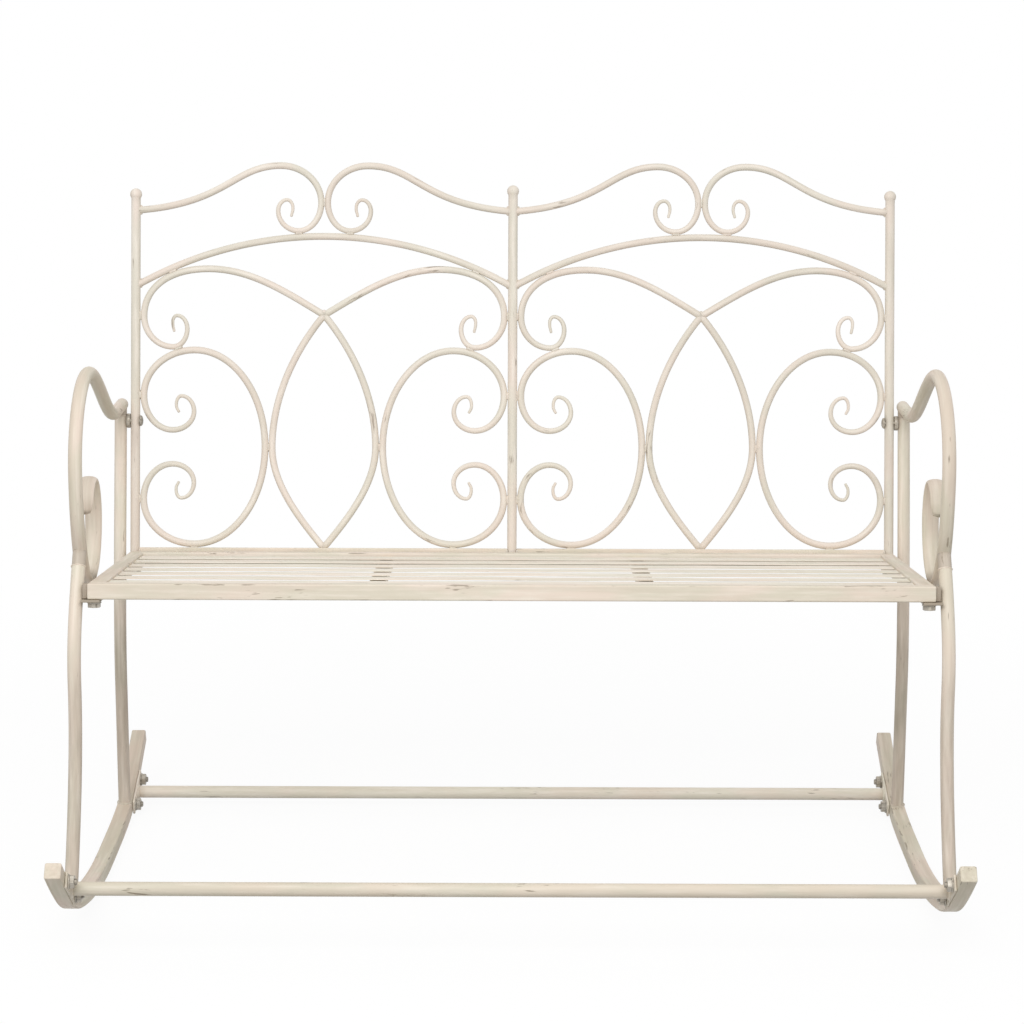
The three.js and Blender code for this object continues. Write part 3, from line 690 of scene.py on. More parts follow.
def addTopWeld(bm, side, line, depth):
    # the seam round the leg's upper end, above which it wears a darker cream as painted shade of the
    # arm's lower curl
    seam = next(ring for ring in reversed(line) if (ring["at"] - line[-1]["at"]).length > depth)
    lean = math.atan2(seam["along"].y, seam["along"].x) + math.pi / 2
    place = standingOn(side, seam["at"], lean)
    upwards = place.inverted()
    for face in bm.faces:
        if (upwards @ face.calc_center_median()).z < 0:
            face.material_index = 1
    addWeldRing(bm, place, legRadius, weldSet["topRing"])


def fromEnd(end, setback):
    # counted from the seat's front or from its rear
    return setback if end == "front" else seatSet["depth"] - setback


def addShadeFill(bm, side):
    across = side * (seatSet["width"] / 2 + bench["legX"] - legRadius) / 2
    place = Matrix.Translation((across, *shadeFillSet["place"]))
    # darkened all over: painted shade standing in the shadowed gap
    addBox(bm, shadeFillSet["size"], seatMatrix @ place, shadeFillSet["rounding"], grimeAndShade=1)
    # painted shade, with some rust, on the arm's lower curl behind the joint
    markGrimeAndShade(sidePlane(side) @ armBottom.to_3d(), legSet["jointGrimeAndShadeReach"])


def addTab(bm, side, end):
    inner = seatSet["width"] / 2 - tabSet["width"]
    outer = bench["legX"] - legRadius + tabSet["sunkIn"]
    below = bench["tubeSize"] + bench["touchGap"] + tabSet["thickness"] / 2
    middle = fromEnd(end, tabSet["setback"][end])
    place = Matrix.Translation((side * (inner + outer) / 2, middle, -below))
    size = (outer - inner, tabSet["length"], tabSet["thickness"])
    # the tab is darkened all over
    addBox(bm, size, seatMatrix @ place, tabSet["rounding"], grimeAndShade=1)


def buildLeg(side, name, end, line):
    bm = startMesh()
    sweepBar(bm, roundOutline(bm), line, sidePlane(side), bench["legDiameter"])
    addTopWeld(bm, side, line, legSet["seams"][end])
    addFootWeld(bm, side, line)
    if end == "front":
        addShadeFill(bm, side)
    layer = bm.verts.layers.float["grimeAndShade"]

    # painted shade: the leg is darker towards the bottom, where less light falls
    def paintedShadeAt(vert):
        share = legSet["shadeAndGrime"] * (1 - vert.co.z / metre / legSet["paintedShadeTop"])
        return max(vert[layer], min(share, legSet["paintedShadeLimit"]))

    setGrimeAndShade(bm, bm.verts, paintedShadeAt)
    addTab(bm, side, end)
    finishPiece(f"{name}{end.capitalize()}LegTube", bm, [f"{name}_{end}_leg"])


for sideName, side in sides:
    buildRocker(side, sideName)
    buildArm(side, sideName)
    buildLeg(side, sideName, "front", frontLeg)
    buildLeg(side, sideName, "rear", rearLeg)
print("side frames:", len(pieces), "pieces")

# Stretchers, each with a bolted plate at both ends
stretcherSet = {
    "setbacks": {"front": -147, "rear": 440},
    "diameter": 17,
    "plate": (3, 80, 20),
    "plateRounding": 1,
    "plateSpacing": 5,
    "boltSpacing": 60,
}
rockerFace = bench["legX"] - bench["tubeSize"] / 2
plateFace = rockerFace - bench["touchGap"] - stretcherSet["plate"][0]


def buildStretcher(end):
    at, slope = pointOn(rocker, stretcherSet["setbacks"][end])
    centre = Vector((0, at.x, at.y))
    bm = startMesh()
    reach = plateFace + stretcherSet["plate"][0] / 2
    steps = math.ceil(reach / smoothness["ringSpacing"])
    line = [
        {"at": Vector((-reach + 2 * reach * step / steps, 0)), "along": Vector((1, 0)), "girth": 1}
        for step in range(steps + 1)
    ]
    plane = toPart @ Matrix.Translation(centre) @ flatToBack
    sweepBar(bm, roundOutline(bm), line, plane, stretcherSet["diameter"])
    spacing = stretcherSet["plateSpacing"]
    for side in (-1, 1):
        place = Matrix.Translation(centre + Vector((side * reach, 0, 0)))
        turned = toPart @ (place @ Matrix.Rotation(slope, 4, "X"))
        addBox(bm, stretcherSet["plate"], turned, stretcherSet["plateRounding"], 3, 1, spacing)
        face = Matrix.Translation(centre + Vector((side * plateFace, 0, 0)))
        inward = toPart @ face @ Matrix.Rotation(-side * math.pi / 2, 4, "Y")
        addWeldRing(bm, inward, stretcherSet["diameter"] / 2, weldSet["plateRing"])
    finishPiece(f"{end}StretcherTube", bm, [f"{end}_stretcher"])


for end in ("front", "rear"):
    buildStretcher(end)

# Seat
railSet = {
    "rounding": 2.2,
    "spacing": 14,
    # painted shade on the rear rail's lower front face, where the slats shade it
    "shadeAndGrime": {"front": 0, "rear": 1.5},
    "paintedShadeUpTo": -0.5,  # place on the section, forward and up
}
crossbarSet = {"spacing": 342, "width": 20, "height": 12}
slatSet = {
    "count": 7,
    "width": 29.5,
    "thickness": 1.3,  # the solids have 2, with the same tops
    "solidThickness": 2,
    "drop": 3,
    "rounding": 0.5,
    "waviness": 0.5,
    "waveLength": 110,
    "waveStretch": 0.3,
    "waveShift": 500,  # from one slat to the next
    "heldEnds": 8,  # the higher, the nearer to its ends a slat lies flat
}
seatHalf = seatSet["width"] / 2
tube = bench["tubeSize"]
sideRailLength = seatSet["depth"] - 2 * tube - 2 * bench["touchGap"]
slatLength = seatSet["width"] - 2 * tube - 2 * bench["touchGap"]
slatSpace = seatSet["depth"] - 2 * tube
slatGap = (slatSpace - slatSet["count"] * slatSet["width"]) / (slatSet["count"] + 1)


def buildRail(name, node, size, centre, lengthAxis, shadeAndGrime=0):
    # painted shade lies along the lower edge that faces forward, in the slats' shadow
    bm = startMesh()
    place = seatMatrix @ Matrix.Translation(centre)
    addBox(bm, size, place, railSet["rounding"], 4, lengthAxis, railSet["spacing"])
    _, section = placeLayers(bm)
    setGrimeAndShade(bm, [vert for vert in bm.verts if max(vert[section][:2]) < railSet["paintedShadeUpTo"]], shadeAndGrime)
    finishPiece(name, bm, [node], True)


for end, shadeAndGrime in railSet["shadeAndGrime"].items():
    centre = (0, fromEnd(end, tube / 2), -tube / 2)
    size = (seatSet["width"], tube, tube)
    buildRail(f"seat{end.capitalize()}Tube", f"seat_{end}_rail", size, centre, 0, shadeAndGrime)
for sideName, side in sides:
    centre = (side * (seatHalf - tube / 2), seatSet["depth"] / 2, -tube / 2)
    size = (tube, sideRailLength, tube)
    buildRail(f"seat{sideName.capitalize()}Tube", f"seat_{sideName}_rail", size, centre, 1)
    top = slatSet["drop"] + slatSet["solidThickness"] + bench["touchGap"]
    middle = -top - crossbarSet["height"] / 2
    centre = (side * crossbarSet["spacing"] / 2, seatSet["depth"] / 2, middle)
    size = (crossbarSet["width"], sideRailLength, crossbarSet["height"])
    node = f"seat_{sideName}_crossbar"
    buildRail(f"seat{sideName.capitalize()}Crossbar", node, size, centre, 1)


def buildSlat(number):
    bm = startMesh()
    setback = tube + slatGap + (number - 1) * (slatSet["width"] + slatGap) + slatSet["width"] / 2
    place = Matrix.Translation((0, setback, -slatSet["drop"] - slatSet["thickness"] / 2))
    size = (slatLength, slatSet["width"], slatSet["thickness"])
    addBox(bm, size, Matrix(), slatSet["rounding"], 2, 0, railSet["spacing"])
    for vert in bm.verts:
        held = 1 - abs(2 * vert.co.x / slatLength) ** slatSet["heldEnds"]
        wave = Vector((vert.co.x, vert.co.y * slatSet["waveStretch"], number * slatSet["waveShift"]))
        vert.co.z += slatSet["waviness"] * noise.noise(wave / slatSet["waveLength"]) * held
    bmesh.ops.transform(bm, matrix=seatMatrix @ place, verts=bm.verts)
    finishPiece(f"seatSlat{number}", bm, [f"seat_slat_{number}"], True)


for number in range(1, slatSet["count"] + 1):
    buildSlat(number)
print("seat and stretchers:", len(pieces), "pieces so far")

# Back: posts, lower rails and the bent bars of its two panels
barSet = {
    "bowHalfWidth": 71.5,
    "bowHeading": 50,
    "bowLead": 0.36,
    "cHeight": 268,
    "sHeight": 108,
    "archRise": 69.5,
    "archHeading": 29.8,
    "archLead": 0.351,
    "waveHeight": 90,
    "tipRounding": 1.5,
    "tipShare": 0.5,  # of the bar's diameter
    # width share, height share, heading, girth, leads out and in of the next bend
    "cShares": [
        (1, 1, 270, 1),
        (0.418, 0, 180, 1),
        (0, 0.464, 90, 1),
        (0.239, 0.825, 0, 0.84),
        (0.414, 0.633, 270, 0.68),
        (0.31, 0.474, 180, 0.52),
        (0.268, 0.559, 90, 0.46),
        (0.288, 0.635, 62, 0.4),
    ],
    "sShares": [
        (1, 0.411, 149, 1, 0.35, 0.37),
        (0.359, 1, 180, 1, 0.64, 0.58),
        (0, 0.397, 270, 0.96),
        (0.161, 0, 0, 0.82),
        (0.24, 0.231, 90, 0.68),
        (0.184, 0.401, 180, 0.52),
        (0.159, 0.322, 270, 0.46),
        (0.167, 0.206, 282, 0.4),
    ],
    "waveShares": [
        (0, 0.306, 4, 1, 0.62, 0.33),
        (0.782, 1, 0, 1),
        (1, 0.436, 270, 0.92),
        (0.879, 0, 180, 0.8),
        (0.7675, 0.306, 90, 0.66),
        (0.815, 0.475, 0, 0.52),
        (0.847, 0.35, 270, 0.46),
        (0.839, 0.231, 260, 0.4),
    ],
}
gap = bench["touchGap"]
panelMiddle = bench["postSpacing"] / 2
scrollEdge = postRadius + gap + barRadius
scrollFloor = gap + barRadius
cWidth = panelMiddle - barSet["bowHalfWidth"] - 2 * barRadius - gap - scrollEdge
cMiddle = scrollFloor + barSet["cHeight"] / 2
cLower = lineThrough(
    stationsFrom(barSet["cShares"], (scrollEdge, scrollFloor), cWidth, barSet["cHeight"] / 2)
)
cLine = backwards(upsideDown(cLower, cMiddle)) + cLower[1:]
sLine = laidOn(
    lineThrough(
        stationsFrom(
            barSet["sShares"],
            (scrollEdge, scrollFloor + barSet["cHeight"]),
            panelMiddle - scrollEdge,
            barSet["sHeight"],
        )
    ),
    cLine,
)
crossing = sLine[0]["at"]
archStart = crossing.y + barSet["sHeight"] / 2
archLeads = (1, barSet["archLead"])
archLine = laidOn(
    lineThrough([
        station((0, archStart), barSet["archHeading"], *archLeads),
        station((panelMiddle, archStart + barSet["archRise"]), 0, *archLeads),
        station((bench["postSpacing"], archStart), -barSet["archHeading"], *archLeads),
    ]),
    sLine,
)
archTop = max(ring["at"].y for ring in archLine)
waveEdge = panelMiddle - gap / 2 - barRadius * barSet["waveShares"][2][3]
waveLine = laidOn(
    lineThrough(
        stationsFrom(
            barSet["waveShares"], (0, archTop + 2 * barRadius), waveEdge, barSet["waveHeight"]
        )
    ),
    archLine,
)
bowLeads = (1, barSet["bowLead"])
bowLine = lineThrough([
    station((panelMiddle, 0), 180 - barSet["bowHeading"], *bowLeads),
    station((panelMiddle - barSet["bowHalfWidth"], cMiddle), 90, *bowLeads),
    station(crossing, barSet["bowHeading"], *bowLeads),
])
barLines = {  # line, whether its first and last ends are free tips
    "c_scroll": (cLine, True, True),
    "s_scroll": (sLine, False, True),
    "wave": (waveLine, False, True),
    "bow": (bowLine, False, False),
}
plainNames = {"c_scroll": "Scroll", "s_scroll": "UpperScroll", "wave": "TopRail", "bow": "Bow"}


def buildBar(name, node, line, plane, tips=(False, False)):
    bm = startMesh()
    tip = barSet["tipRounding"]
    line = rounded(line, tip, bench["barDiameter"] * barSet["tipShare"], *tips)
    sweepBar(bm, roundOutline(bm), line, plane, bench["barDiameter"])
    finishPiece(name, bm, [node])


panels = (("left", -bench["postSpacing"]), ("right", 0))


def halfPlane(panelStart, facing):
    # the right half of a panel is its left one mirrored
    return backPlane(panelStart if facing == 1 else panelStart + bench["postSpacing"], facing)


def buildPanel(panelName, panelStart):
    for halfName, facing in (("Left", 1), ("Right", -1)):
        for key, (line, firstTip, lastTip) in barLines.items():
            node = f"{panelName}_panel_{halfName.lower()}_{key}"
            name = f"{panelName}Panel{halfName}{plainNames[key]}"
            buildBar(name, node, line, halfPlane(panelStart, facing), (firstTip, lastTip))
    plane = halfPlane(panelStart, 1)
    buildBar(f"{panelName}PanelArch", f"{panelName}_panel_arch", archLine, plane)
    bm = startMesh()
    railSize = backSet["railSize"]
    size = (bench["postSpacing"] - bench["postDiameter"], railSize, railSize)
    centre = Matrix.Translation((panelStart + panelMiddle, 0, -railSize / 2))
    addBox(bm, size, backMatrix @ centre, backSet["railRounding"])
    node = f"{panelName}_panel_lower_rail"
    finishPiece(f"{panelName}PanelLowerRail", bm, [node], True)


for panelName, panelStart in panels:
    buildPanel(panelName, panelStart)


def touchOf(line, other):
    # where two bars come nearest, with the first one's course there
    def space(pair):
        radii = (pair[0]["girth"] + pair[1]["girth"]) * barRadius
        return (pair[0]["at"] - pair[1]["at"]).length - radii

    first, second = min(((a, b) for a in line for b in other), key=space)
    toward = (second["at"] - first["at"]).normalized()
    return first["at"] + toward * first["girth"] * barRadius, first["along"]


def furthest(line, axis, sign):
    return max(line, key=lambda ring: sign * ring["at"][axis])["at"]


up, level = (0, 1), (1, 0)


def halfContacts():
    # places at which the bars of half a panel are welded to each other and to the post
    groove = postRadius + gap / 2
    belly = furthest(cLower, 0, -1)
    return [
        touchOf(sLine, cLine),
        touchOf(archLine, sLine),
        touchOf(waveLine, archLine),
        ((groove, belly.y), up),
        ((groove, 2 * cMiddle - belly.y), up),
        ((groove, furthest(sLine, 0, -1).y), up),
        ((furthest(cLower, 1, -1).x, gap / 2), level),
        ((scrollEdge + cWidth + barRadius + gap / 2, cMiddle), up),
    ]


def middleContacts():
    # and those at which a panel's halves meet
    return [
        ((panelMiddle, furthest(waveLine, 0, 1).y), up),
        ((panelMiddle, crossing.y), up),
        ((panelMiddle, gap / 2), level),
    ]


def addWeldPair(bm, plane, at, along, length, frontLift, rearLift):
    spread = weldSet["lengthSpread"]
    for size, lift in (("frontSize", frontLift), ("rearSize", rearLift)):
        uneven = length * dice.uniform(1 - spread, 1 + spread)
        addBead(bm, plane, at, along, uneven, weldSet[size], lift)


def addPostWelds(bm, plane):
    # beads of the arch, the wave and the lower rail on the post
    for line in (archLine, waveLine):
        at = pointOn(line, postRadius + weldSet["postTuck"])[0]
        for share in (-weldSet["postShare"], weldSet["postShare"]):
            spot = at + Vector((0, share * barRadius))
            addBead(bm, plane, spot, up, barRadius, weldSet["frontSize"])
    railSide = backSet["railSize"] / 2 - weldSet["railTuck"]
    spot = (postRadius + weldSet["railTuck"], -backSet["railSize"] / 2)
    length = backSet["railSize"] * weldSet["tubeShare"]
    addWeldPair(bm, plane, spot, up, length, -railSide, railSide)


def buildPanelWelds(panelName, panelStart, contacts, shared):
    bm = startMesh()
    lifts = (weldSet["frontLift"], weldSet["rearLift"])
    for facing in (1, -1):
        plane = halfPlane(panelStart, facing)
        for at, along in contacts + (shared if facing == 1 else []):
            addWeldPair(bm, plane, at, along, weldSet["beadLength"], *lifts)
        if facing == 1:
            middle = (panelMiddle, crossing.y)
            addBead(bm, plane, middle, up, weldSet["crossLength"], weldSet["crossSize"])
        addPostWelds(bm, plane)
    finishPiece(f"{panelName}PanelWelds", bm, [])


for panelName, panelStart in panels:
    buildPanelWelds(panelName, panelStart, halfContacts(), middleContacts())


def buildSeatWelds():
    bm = startMesh()

    def addUpright(across, setback, height, length):
        plane = seatMatrix @ Matrix.Translation((0, setback, 0)) @ flatToBack
        addBead(bm, plane, (across, height), up, length, weldSet["frontSize"])

    out = weldSet["tubeTuck"]
    for share in (-1, 0, 1):
        for edge in (-weldSet["footShare"], weldSet["footShare"]):
            across = share * bench["postSpacing"] + edge * postRadius
            setback = seatSet["depth"] + weldSet["footBehind"]
            addUpright(across, setback, -tube / 2, tube * weldSet["footLengthShare"])
    middle = -slatSet["drop"] - slatSet["solidThickness"] - crossbarSet["height"] / 2
    for side in (-1, 1):
        for setback in (tube + out, seatSet["depth"] - tube - out):
            length = tube * weldSet["tubeShare"]
            addUpright(side * (seatHalf - tube - out), setback, -tube / 2, length)
            for edge in (-1, 1):
                off = edge * (crossbarSet["width"] / 2 + weldSet["crossbarTuck"])
                across = side * crossbarSet["spacing"] / 2 + off
                addUpright(across, setback, middle, crossbarSet["height"] * weldSet["tubeShare"])
    finishPiece("seatWelds", bm, [])


buildSeatWelds()

postSet = {"ballDiameter": 16.5, "sides": 24, "rows": 60, "ballSteps": 12, "footRounding": 0.8}


def buildPost(name, start, height):
    ball, rows, steps = postSet["ballDiameter"] / 2, postSet["rows"], postSet["ballSteps"]
    neck = math.pi - math.asin(postRadius / ball)
    neckHeight = height - ball + ball * math.cos(neck)
    foot = -backRise / math.cos(leanAngle)
    rounding = postSet["footRounding"]
    shaft = neckHeight - foot - rounding
    profile = [(0, foot), (postRadius - rounding, foot), (postRadius, foot + rounding)]
    profile += [(postRadius, foot + rounding + shaft * row / rows) for row in range(1, rows + 1)]
    for step in range(1, steps):
        angle = neck * (1 - step / steps)
        profile.append((ball * math.sin(angle), height - ball + ball * math.cos(angle)))
    profile.append((0, height))
    bm = startMesh()
    addSpun(bm, profile, backMatrix @ Matrix.Translation((start, 0, 0)), postSet["sides"])
    finishPiece(f"{name}Post", bm, [f"{name}_post"])


for name, share in (("left", -1), ("middle", 0), ("right", 1)):
    extra = backSet["middleExtra"] if share == 0 else 0
    buildPost(name, share * bench["postSpacing"], backSet["postHeight"] + extra)
print("back:", len(pieces), "pieces so far")

# Bolts
boltSet = {
    "diameter": 8,
    "bite": 14,
    "across": 15,
    "headHeight": 5.5,
    "chamfer": 0.7,
    "washer": (18, 1.6),
    "washerRounding": 0.3,
    "stub": 3,
    "startRounding": 0.8,
    "threadPitch": 1.25,
    "threadDepth": 0.55,
    "inHead": 0.5,  # how far a shank starts inside its head
    "sides": {"shank": 20, "washer": 32, "dome": 28},
    "seatInset": 7.5,
    "grimeReach": 17,
}
backBoltSet = {  # domed head on the post, spacer between post and leg
    "height": 175,
    "headHeight": 4,
    "domeShare": 0.8,
    "domeSteps": 6,
    "intoLeg": 6,
    "spacer": 20,
    "spacerRounding": 0.5,
    "spacerGrime": 0.6,
}


def shankProfile(bottom, top):
    # a plain shank, with thread grooves up to the nut at zero
    radius, pitch, rounding = boltSet["diameter"] / 2, boltSet["threadPitch"], boltSet["startRounding"]
    profile = [(0, bottom), (radius - rounding, bottom), (radius, bottom + rounding)]
    height = bottom + rounding
    while height + pitch < 0:
        groove = radius - boltSet["threadDepth"]
        profile += [(groove, height + pitch / 2), (radius, height + pitch)]
        height += pitch
    return profile + [(radius, top), (0, top)]


def discProfile(radius, bottom, top, rounding):
    return [
        (0, bottom),
        (radius - rounding, bottom),
        (radius, bottom + rounding),
        (radius, top - rounding),
        (radius - rounding, top),
        (0, top),
    ]


def behindFace(face):
    # where a nut or head starts whose washer lies on this face
    return face - gap - boltSet["washer"][1] - boltSet["headHeight"]


def outwards(side, start, place):
    # an upright axis laid level, from here to the bench's side
    mirror = Matrix.Diagonal((side, 1, 1, 1))
    laid = Matrix.Rotation(math.pi / 2, 4, "Y")
    return toPart @ mirror @ Matrix.Translation((start, place.x, place.y)) @ laid


def buildScrew(name, node, at, shank, turn):
    # shank, nut or head, and washer
    markGrimeAndShade(at.translation, boltSet["grimeReach"])
    height, (width, thickness) = boltSet["headHeight"], boltSet["washer"]
    washer = discProfile(width / 2, height, height + thickness, boltSet["washerRounding"])
    bm = startMesh()
    addSpun(bm, shankProfile(*shank), at, boltSet["sides"]["shank"])
    addHex(bm, boltSet["across"], height, boltSet["chamfer"], at @ turn)
    addSpun(bm, washer, at, boltSet["sides"]["washer"])
    finishPiece(name, bm, [node], True)


def buildPlateBolt(side, sideName, end, order, place):
    # nut, washer and thread on the inner face of a stretcher's plate
    start = behindFace(plateFace)
    turn = Matrix.Rotation(dice.uniform(0, math.pi / 3), 4, "Z")
    name = f"{sideName}{end.capitalize()}PlateBolt{order}"
    node = f"{sideName}_{end}_flange_bolt_{order}"
    shank = (-boltSet["stub"], rockerFace + boltSet["bite"] - start)
    buildScrew(name, node, outwards(side, start, place), shank, turn)


def buildSeatBolt(side, sideName, end):
    start = behindFace(-tube - gap - tabSet["thickness"])
    across = side * (seatHalf - boltSet["seatInset"])
    at = seatMatrix @ Matrix.Translation((across, fromEnd(end, tube / 2), start))
    name = f"{sideName}{end.capitalize()}SeatBolt"
    shank = (boltSet["inHead"], boltSet["bite"] - tube - start)
    buildScrew(name, f"{sideName}_{end}_seat_bolt", at, shank, Matrix())


def buildBackBolt(side, sideName):
    place = backPoint(backBoltSet["height"])
    head, steps = backBoltSet["headHeight"], backBoltSet["domeSteps"]
    start = bench["postSpacing"] - postRadius - gap - head
    at = outwards(side, start, place)
    markGrimeAndShade(at.translation, boltSet["grimeReach"])
    radius = boltSet["across"] / 2
    dome = []
    for step in range(steps + 1):
        angle = math.pi / 2 * step / steps
        rise = head * (1 - math.cos(angle)) * backBoltSet["domeShare"]
        dome.append((radius * math.sin(angle), rise))
    innerFace = bench["legX"] - legRadius
    outerFace = bench["postSpacing"] + postRadius
    shank = shankProfile(head - boltSet["inHead"], innerFace + backBoltSet["intoLeg"] - start)
    ends = (outerFace + gap - start, innerFace - gap - start)
    spacer = discProfile(backBoltSet["spacer"] / 2, *ends, backBoltSet["spacerRounding"])
    bm = startMesh()
    addSpun(bm, dome + [(radius, head), (0, head)], at, boltSet["sides"]["dome"])
    addSpun(bm, shank, at, boltSet["sides"]["shank"])
    addSpun(bm, spacer, at, boltSet["sides"]["washer"], grimeAndShade=backBoltSet["spacerGrime"])
    finishPiece(f"{sideName}BackBolt", bm, [f"{sideName}_back_bolt"], True)


for sideName, side in sides:
    for end, setback in stretcherSet["setbacks"].items():
        at, slope = pointOn(rocker, setback)
        along = Vector((math.cos(slope), math.sin(slope)))
        for order, share in ((1, -0.5), (2, 0.5)):
            place = at + along * share * stretcherSet["boltSpacing"]
            buildPlateBolt(side, sideName, end, order, place)
        buildSeatBolt(side, sideName, end)
    buildBackBolt(side, sideName)
print("bolts:", len(pieces), "pieces so far")

# Scuffs, grime and painted shade, written into each mesh as marks that fade out from their spots
scuffs = {
    "frontRail": [(-414, -352), (-230, -212), (-84, -52), (214, 236), (404, 424)],  # from, to
    "railSpacing": 5,
    "railReach": 7,
    "railStrength": 1.15,
    "railEdge": (1, -0.5),  # behind and below the rail's upper front corner
    "frontStretcher": [(-440, 34), (-150, 20), (238, 26)],  # place along it, reach
    "stretcherFront": (0.4, 3),  # share of its diameter forward, and how far down
    "stretcherStrength": 1.1,
    "rearLeg": [(-1, 566, 18), (1, 300, 20)],  # side, height, reach
    "frontLeg": [(1, 105, 22), (-1, 240, 26), (-1, 90, 20)],
    "legShare": 0.7,  # of the leg's radius, towards the bench's middle
    # painted shade in the gaps between the seat rails' ends and the legs
    "railEndShade": 15,
    "railEndOut": 1,
}


def markRub(place, reach, strength):
    rubSpots.append((place, reach * metre, strength))


def placeScuffs():
    for first, last in scuffs["frontRail"]:
        for across in range(first, last, scuffs["railSpacing"]):
            edge = seatMatrix @ Vector((across, *scuffs["railEdge"]))
            markRub(edge, scuffs["railReach"], scuffs["railStrength"])
    at = pointOn(rocker, stretcherSet["setbacks"]["front"])[0]
    forward, down = scuffs["stretcherFront"]
    for across, reach in scuffs["frontStretcher"]:
        front = Vector((across, at.x - stretcherSet["diameter"] * forward, at.y - down))
        markRub(toPart @ front, reach, scuffs["stretcherStrength"])
    for key, line in (("rearLeg", rearLeg), ("frontLeg", frontLeg)):
        for side, height, reach in scuffs[key]:
            at = min(line, key=lambda ring: abs(ring["at"].y - height))["at"]
            inner = Vector((at.x, at.y, -side * legRadius * scuffs["legShare"]))
            markRub(sidePlane(side) @ inner, reach, 1)
    # painted shade in the gaps between the seat rails' ends and the legs
    for side in (-1, 1):
        for end in ("front", "rear"):
            across = side * (seatHalf + scuffs["railEndOut"])
            middle = Vector((across, fromEnd(end, tube / 2), -tube / 2))
            markGrimeAndShade(seatMatrix @ middle, scuffs["railEndShade"])


def spreadSpots(piece, layer, spots):
    mesh = piece.data
    count = len(mesh.vertices)
    places = numpy.empty(count * 3, dtype=numpy.float32)
    mesh.vertices.foreach_get("co", places)
    places = places.reshape(-1, 3)
    marks = numpy.zeros(count, dtype=numpy.float32)
    mesh.attributes[layer].data.foreach_get("value", marks)
    for place, reach, strength in spots:
        away = numpy.linalg.norm(places - numpy.array(place, dtype=numpy.float32), axis=1)
        marks = numpy.maximum(marks, strength * (1 - away / reach))
    mesh.attributes[layer].data.foreach_set("value", marks.astype(numpy.float32))


placeScuffs()
for piece in pieces.values():
    spreadSpots(piece, "grimeAndShade", grimeAndShadeSpots)
    spreadSpots(piece, "rubbed", rubSpots)
print("marks:", len(grimeAndShadeSpots), "grimy spots,", len(rubSpots), "scuffs")


# Brushed paint, rubbed through in places
patternSet = {
    # noise as scale, detail and share of the scale along the bar
    "drift": (22, 3, 0.42),
    "blotch": (170, 4, 0.12),
    "streak": (360, 3, 0.08),
    "patch": (26, 2, 0.5),
    "blots": (220, 3, 0.09),
    # the same for the strokes, whose scale is the finish's fineness
    "fineStroke": (3, 0.03),
    "wideStroke": (3, 0.05),
    "wideShare": 0.3,  # of the fineness
    "fineRoughness": 0.6,
    # edges between which a value fades in
    "driftFade": (0.4, 0.6),
    "blotchFade": (0.42, 0.72),
    "strokeFade": (0.38, 0.62),
    "rubFade": (0.745, 0.805),
    "cornerFade": (0.7, 0.98),
    "grimeAndShadeFade": (0.34, 0.96),
    # weights of what is added up
    "paleDepth": 0.7,
    "strokeWeights": (0.4, 0.6),
    "rubWeights": (0.55, 0.6, 0.1, 0.1),
    "grimeAndShadeWeights": (0.8, 0.4),
    "rubSlant": (0, 0.05, 0.09),
}


def newGroup(name, inputs, outputs):
    group = bpy.data.node_groups.new(name, "ShaderNodeTree")
    for direction, sockets in (("INPUT", inputs), ("OUTPUT", outputs)):
        for label, kind in sockets.items():
            group.interface.new_socket(label, in_out=direction, socket_type=f"NodeSocket{kind}")
    given, result = group.nodes.new("NodeGroupInput"), group.nodes.new("NodeGroupOutput")
    return group, given.outputs, result.inputs


def addNode(tree, kind, inputs=None, **settings):
    # an input is a value, or an output socket to link from
    made = tree.nodes.new(kind)
    for key, value in settings.items():
        setattr(made, key, value)
    for key, value in (inputs or {}).items():
        if isinstance(value, bpy.types.NodeSocket):
            tree.links.new(value, made.inputs[key])
        else:
            made.inputs[key].default_value = value
    return made


def maths(tree, operation, *values):
    inputs = dict(enumerate(values))
    return addNode(tree, "ShaderNodeMath", inputs, operation=operation).outputs[0]


def weighted(tree, weights, *values):
    # the sum of the values, each times its weight
    total = None
    for weight, value in zip(weights, values):
        part = maths(tree, "MULTIPLY", value, weight)
        total = part if total is None else maths(tree, "ADD", total, part)
    return total


def fade(tree, value, low, high):
    inputs = {"Value": value, "From Min": low, "From Max": high}
    made = addNode(tree, "ShaderNodeMapRange", inputs, interpolation_type="SMOOTHSTEP")
    return made.outputs["Result"]


def barNoise(tree, vector, scale, detail, along, **extra):
    # noise that is drawn out along the bar
    inputs = {0: vector, 1: (along, 1, 1)}
    drawn = addNode(tree, "ShaderNodeVectorMath", inputs, operation="MULTIPLY").outputs[0]
    inputs = {"Vector": drawn, "Scale": scale, "Detail": detail, **extra}
    return addNode(tree, "ShaderNodeTexNoise", inputs).outputs["Fac"]


def mixColour(tree, factor, first, second):
    inputs = {0: factor, 6: first, 7: second}
    return addNode(tree, "ShaderNodeMix", inputs, data_type="RGBA").outputs[2]


def colour(red, green, blue):
    # screen values from 0 to 255 as the shader's linear ones
    def linear(value):
        share = value / 255
        return share / 12.92 if share <= 0.04045 else ((share + 0.055) / 1.055) ** 2.4

    return (linear(red), linear(green), linear(blue), 1)


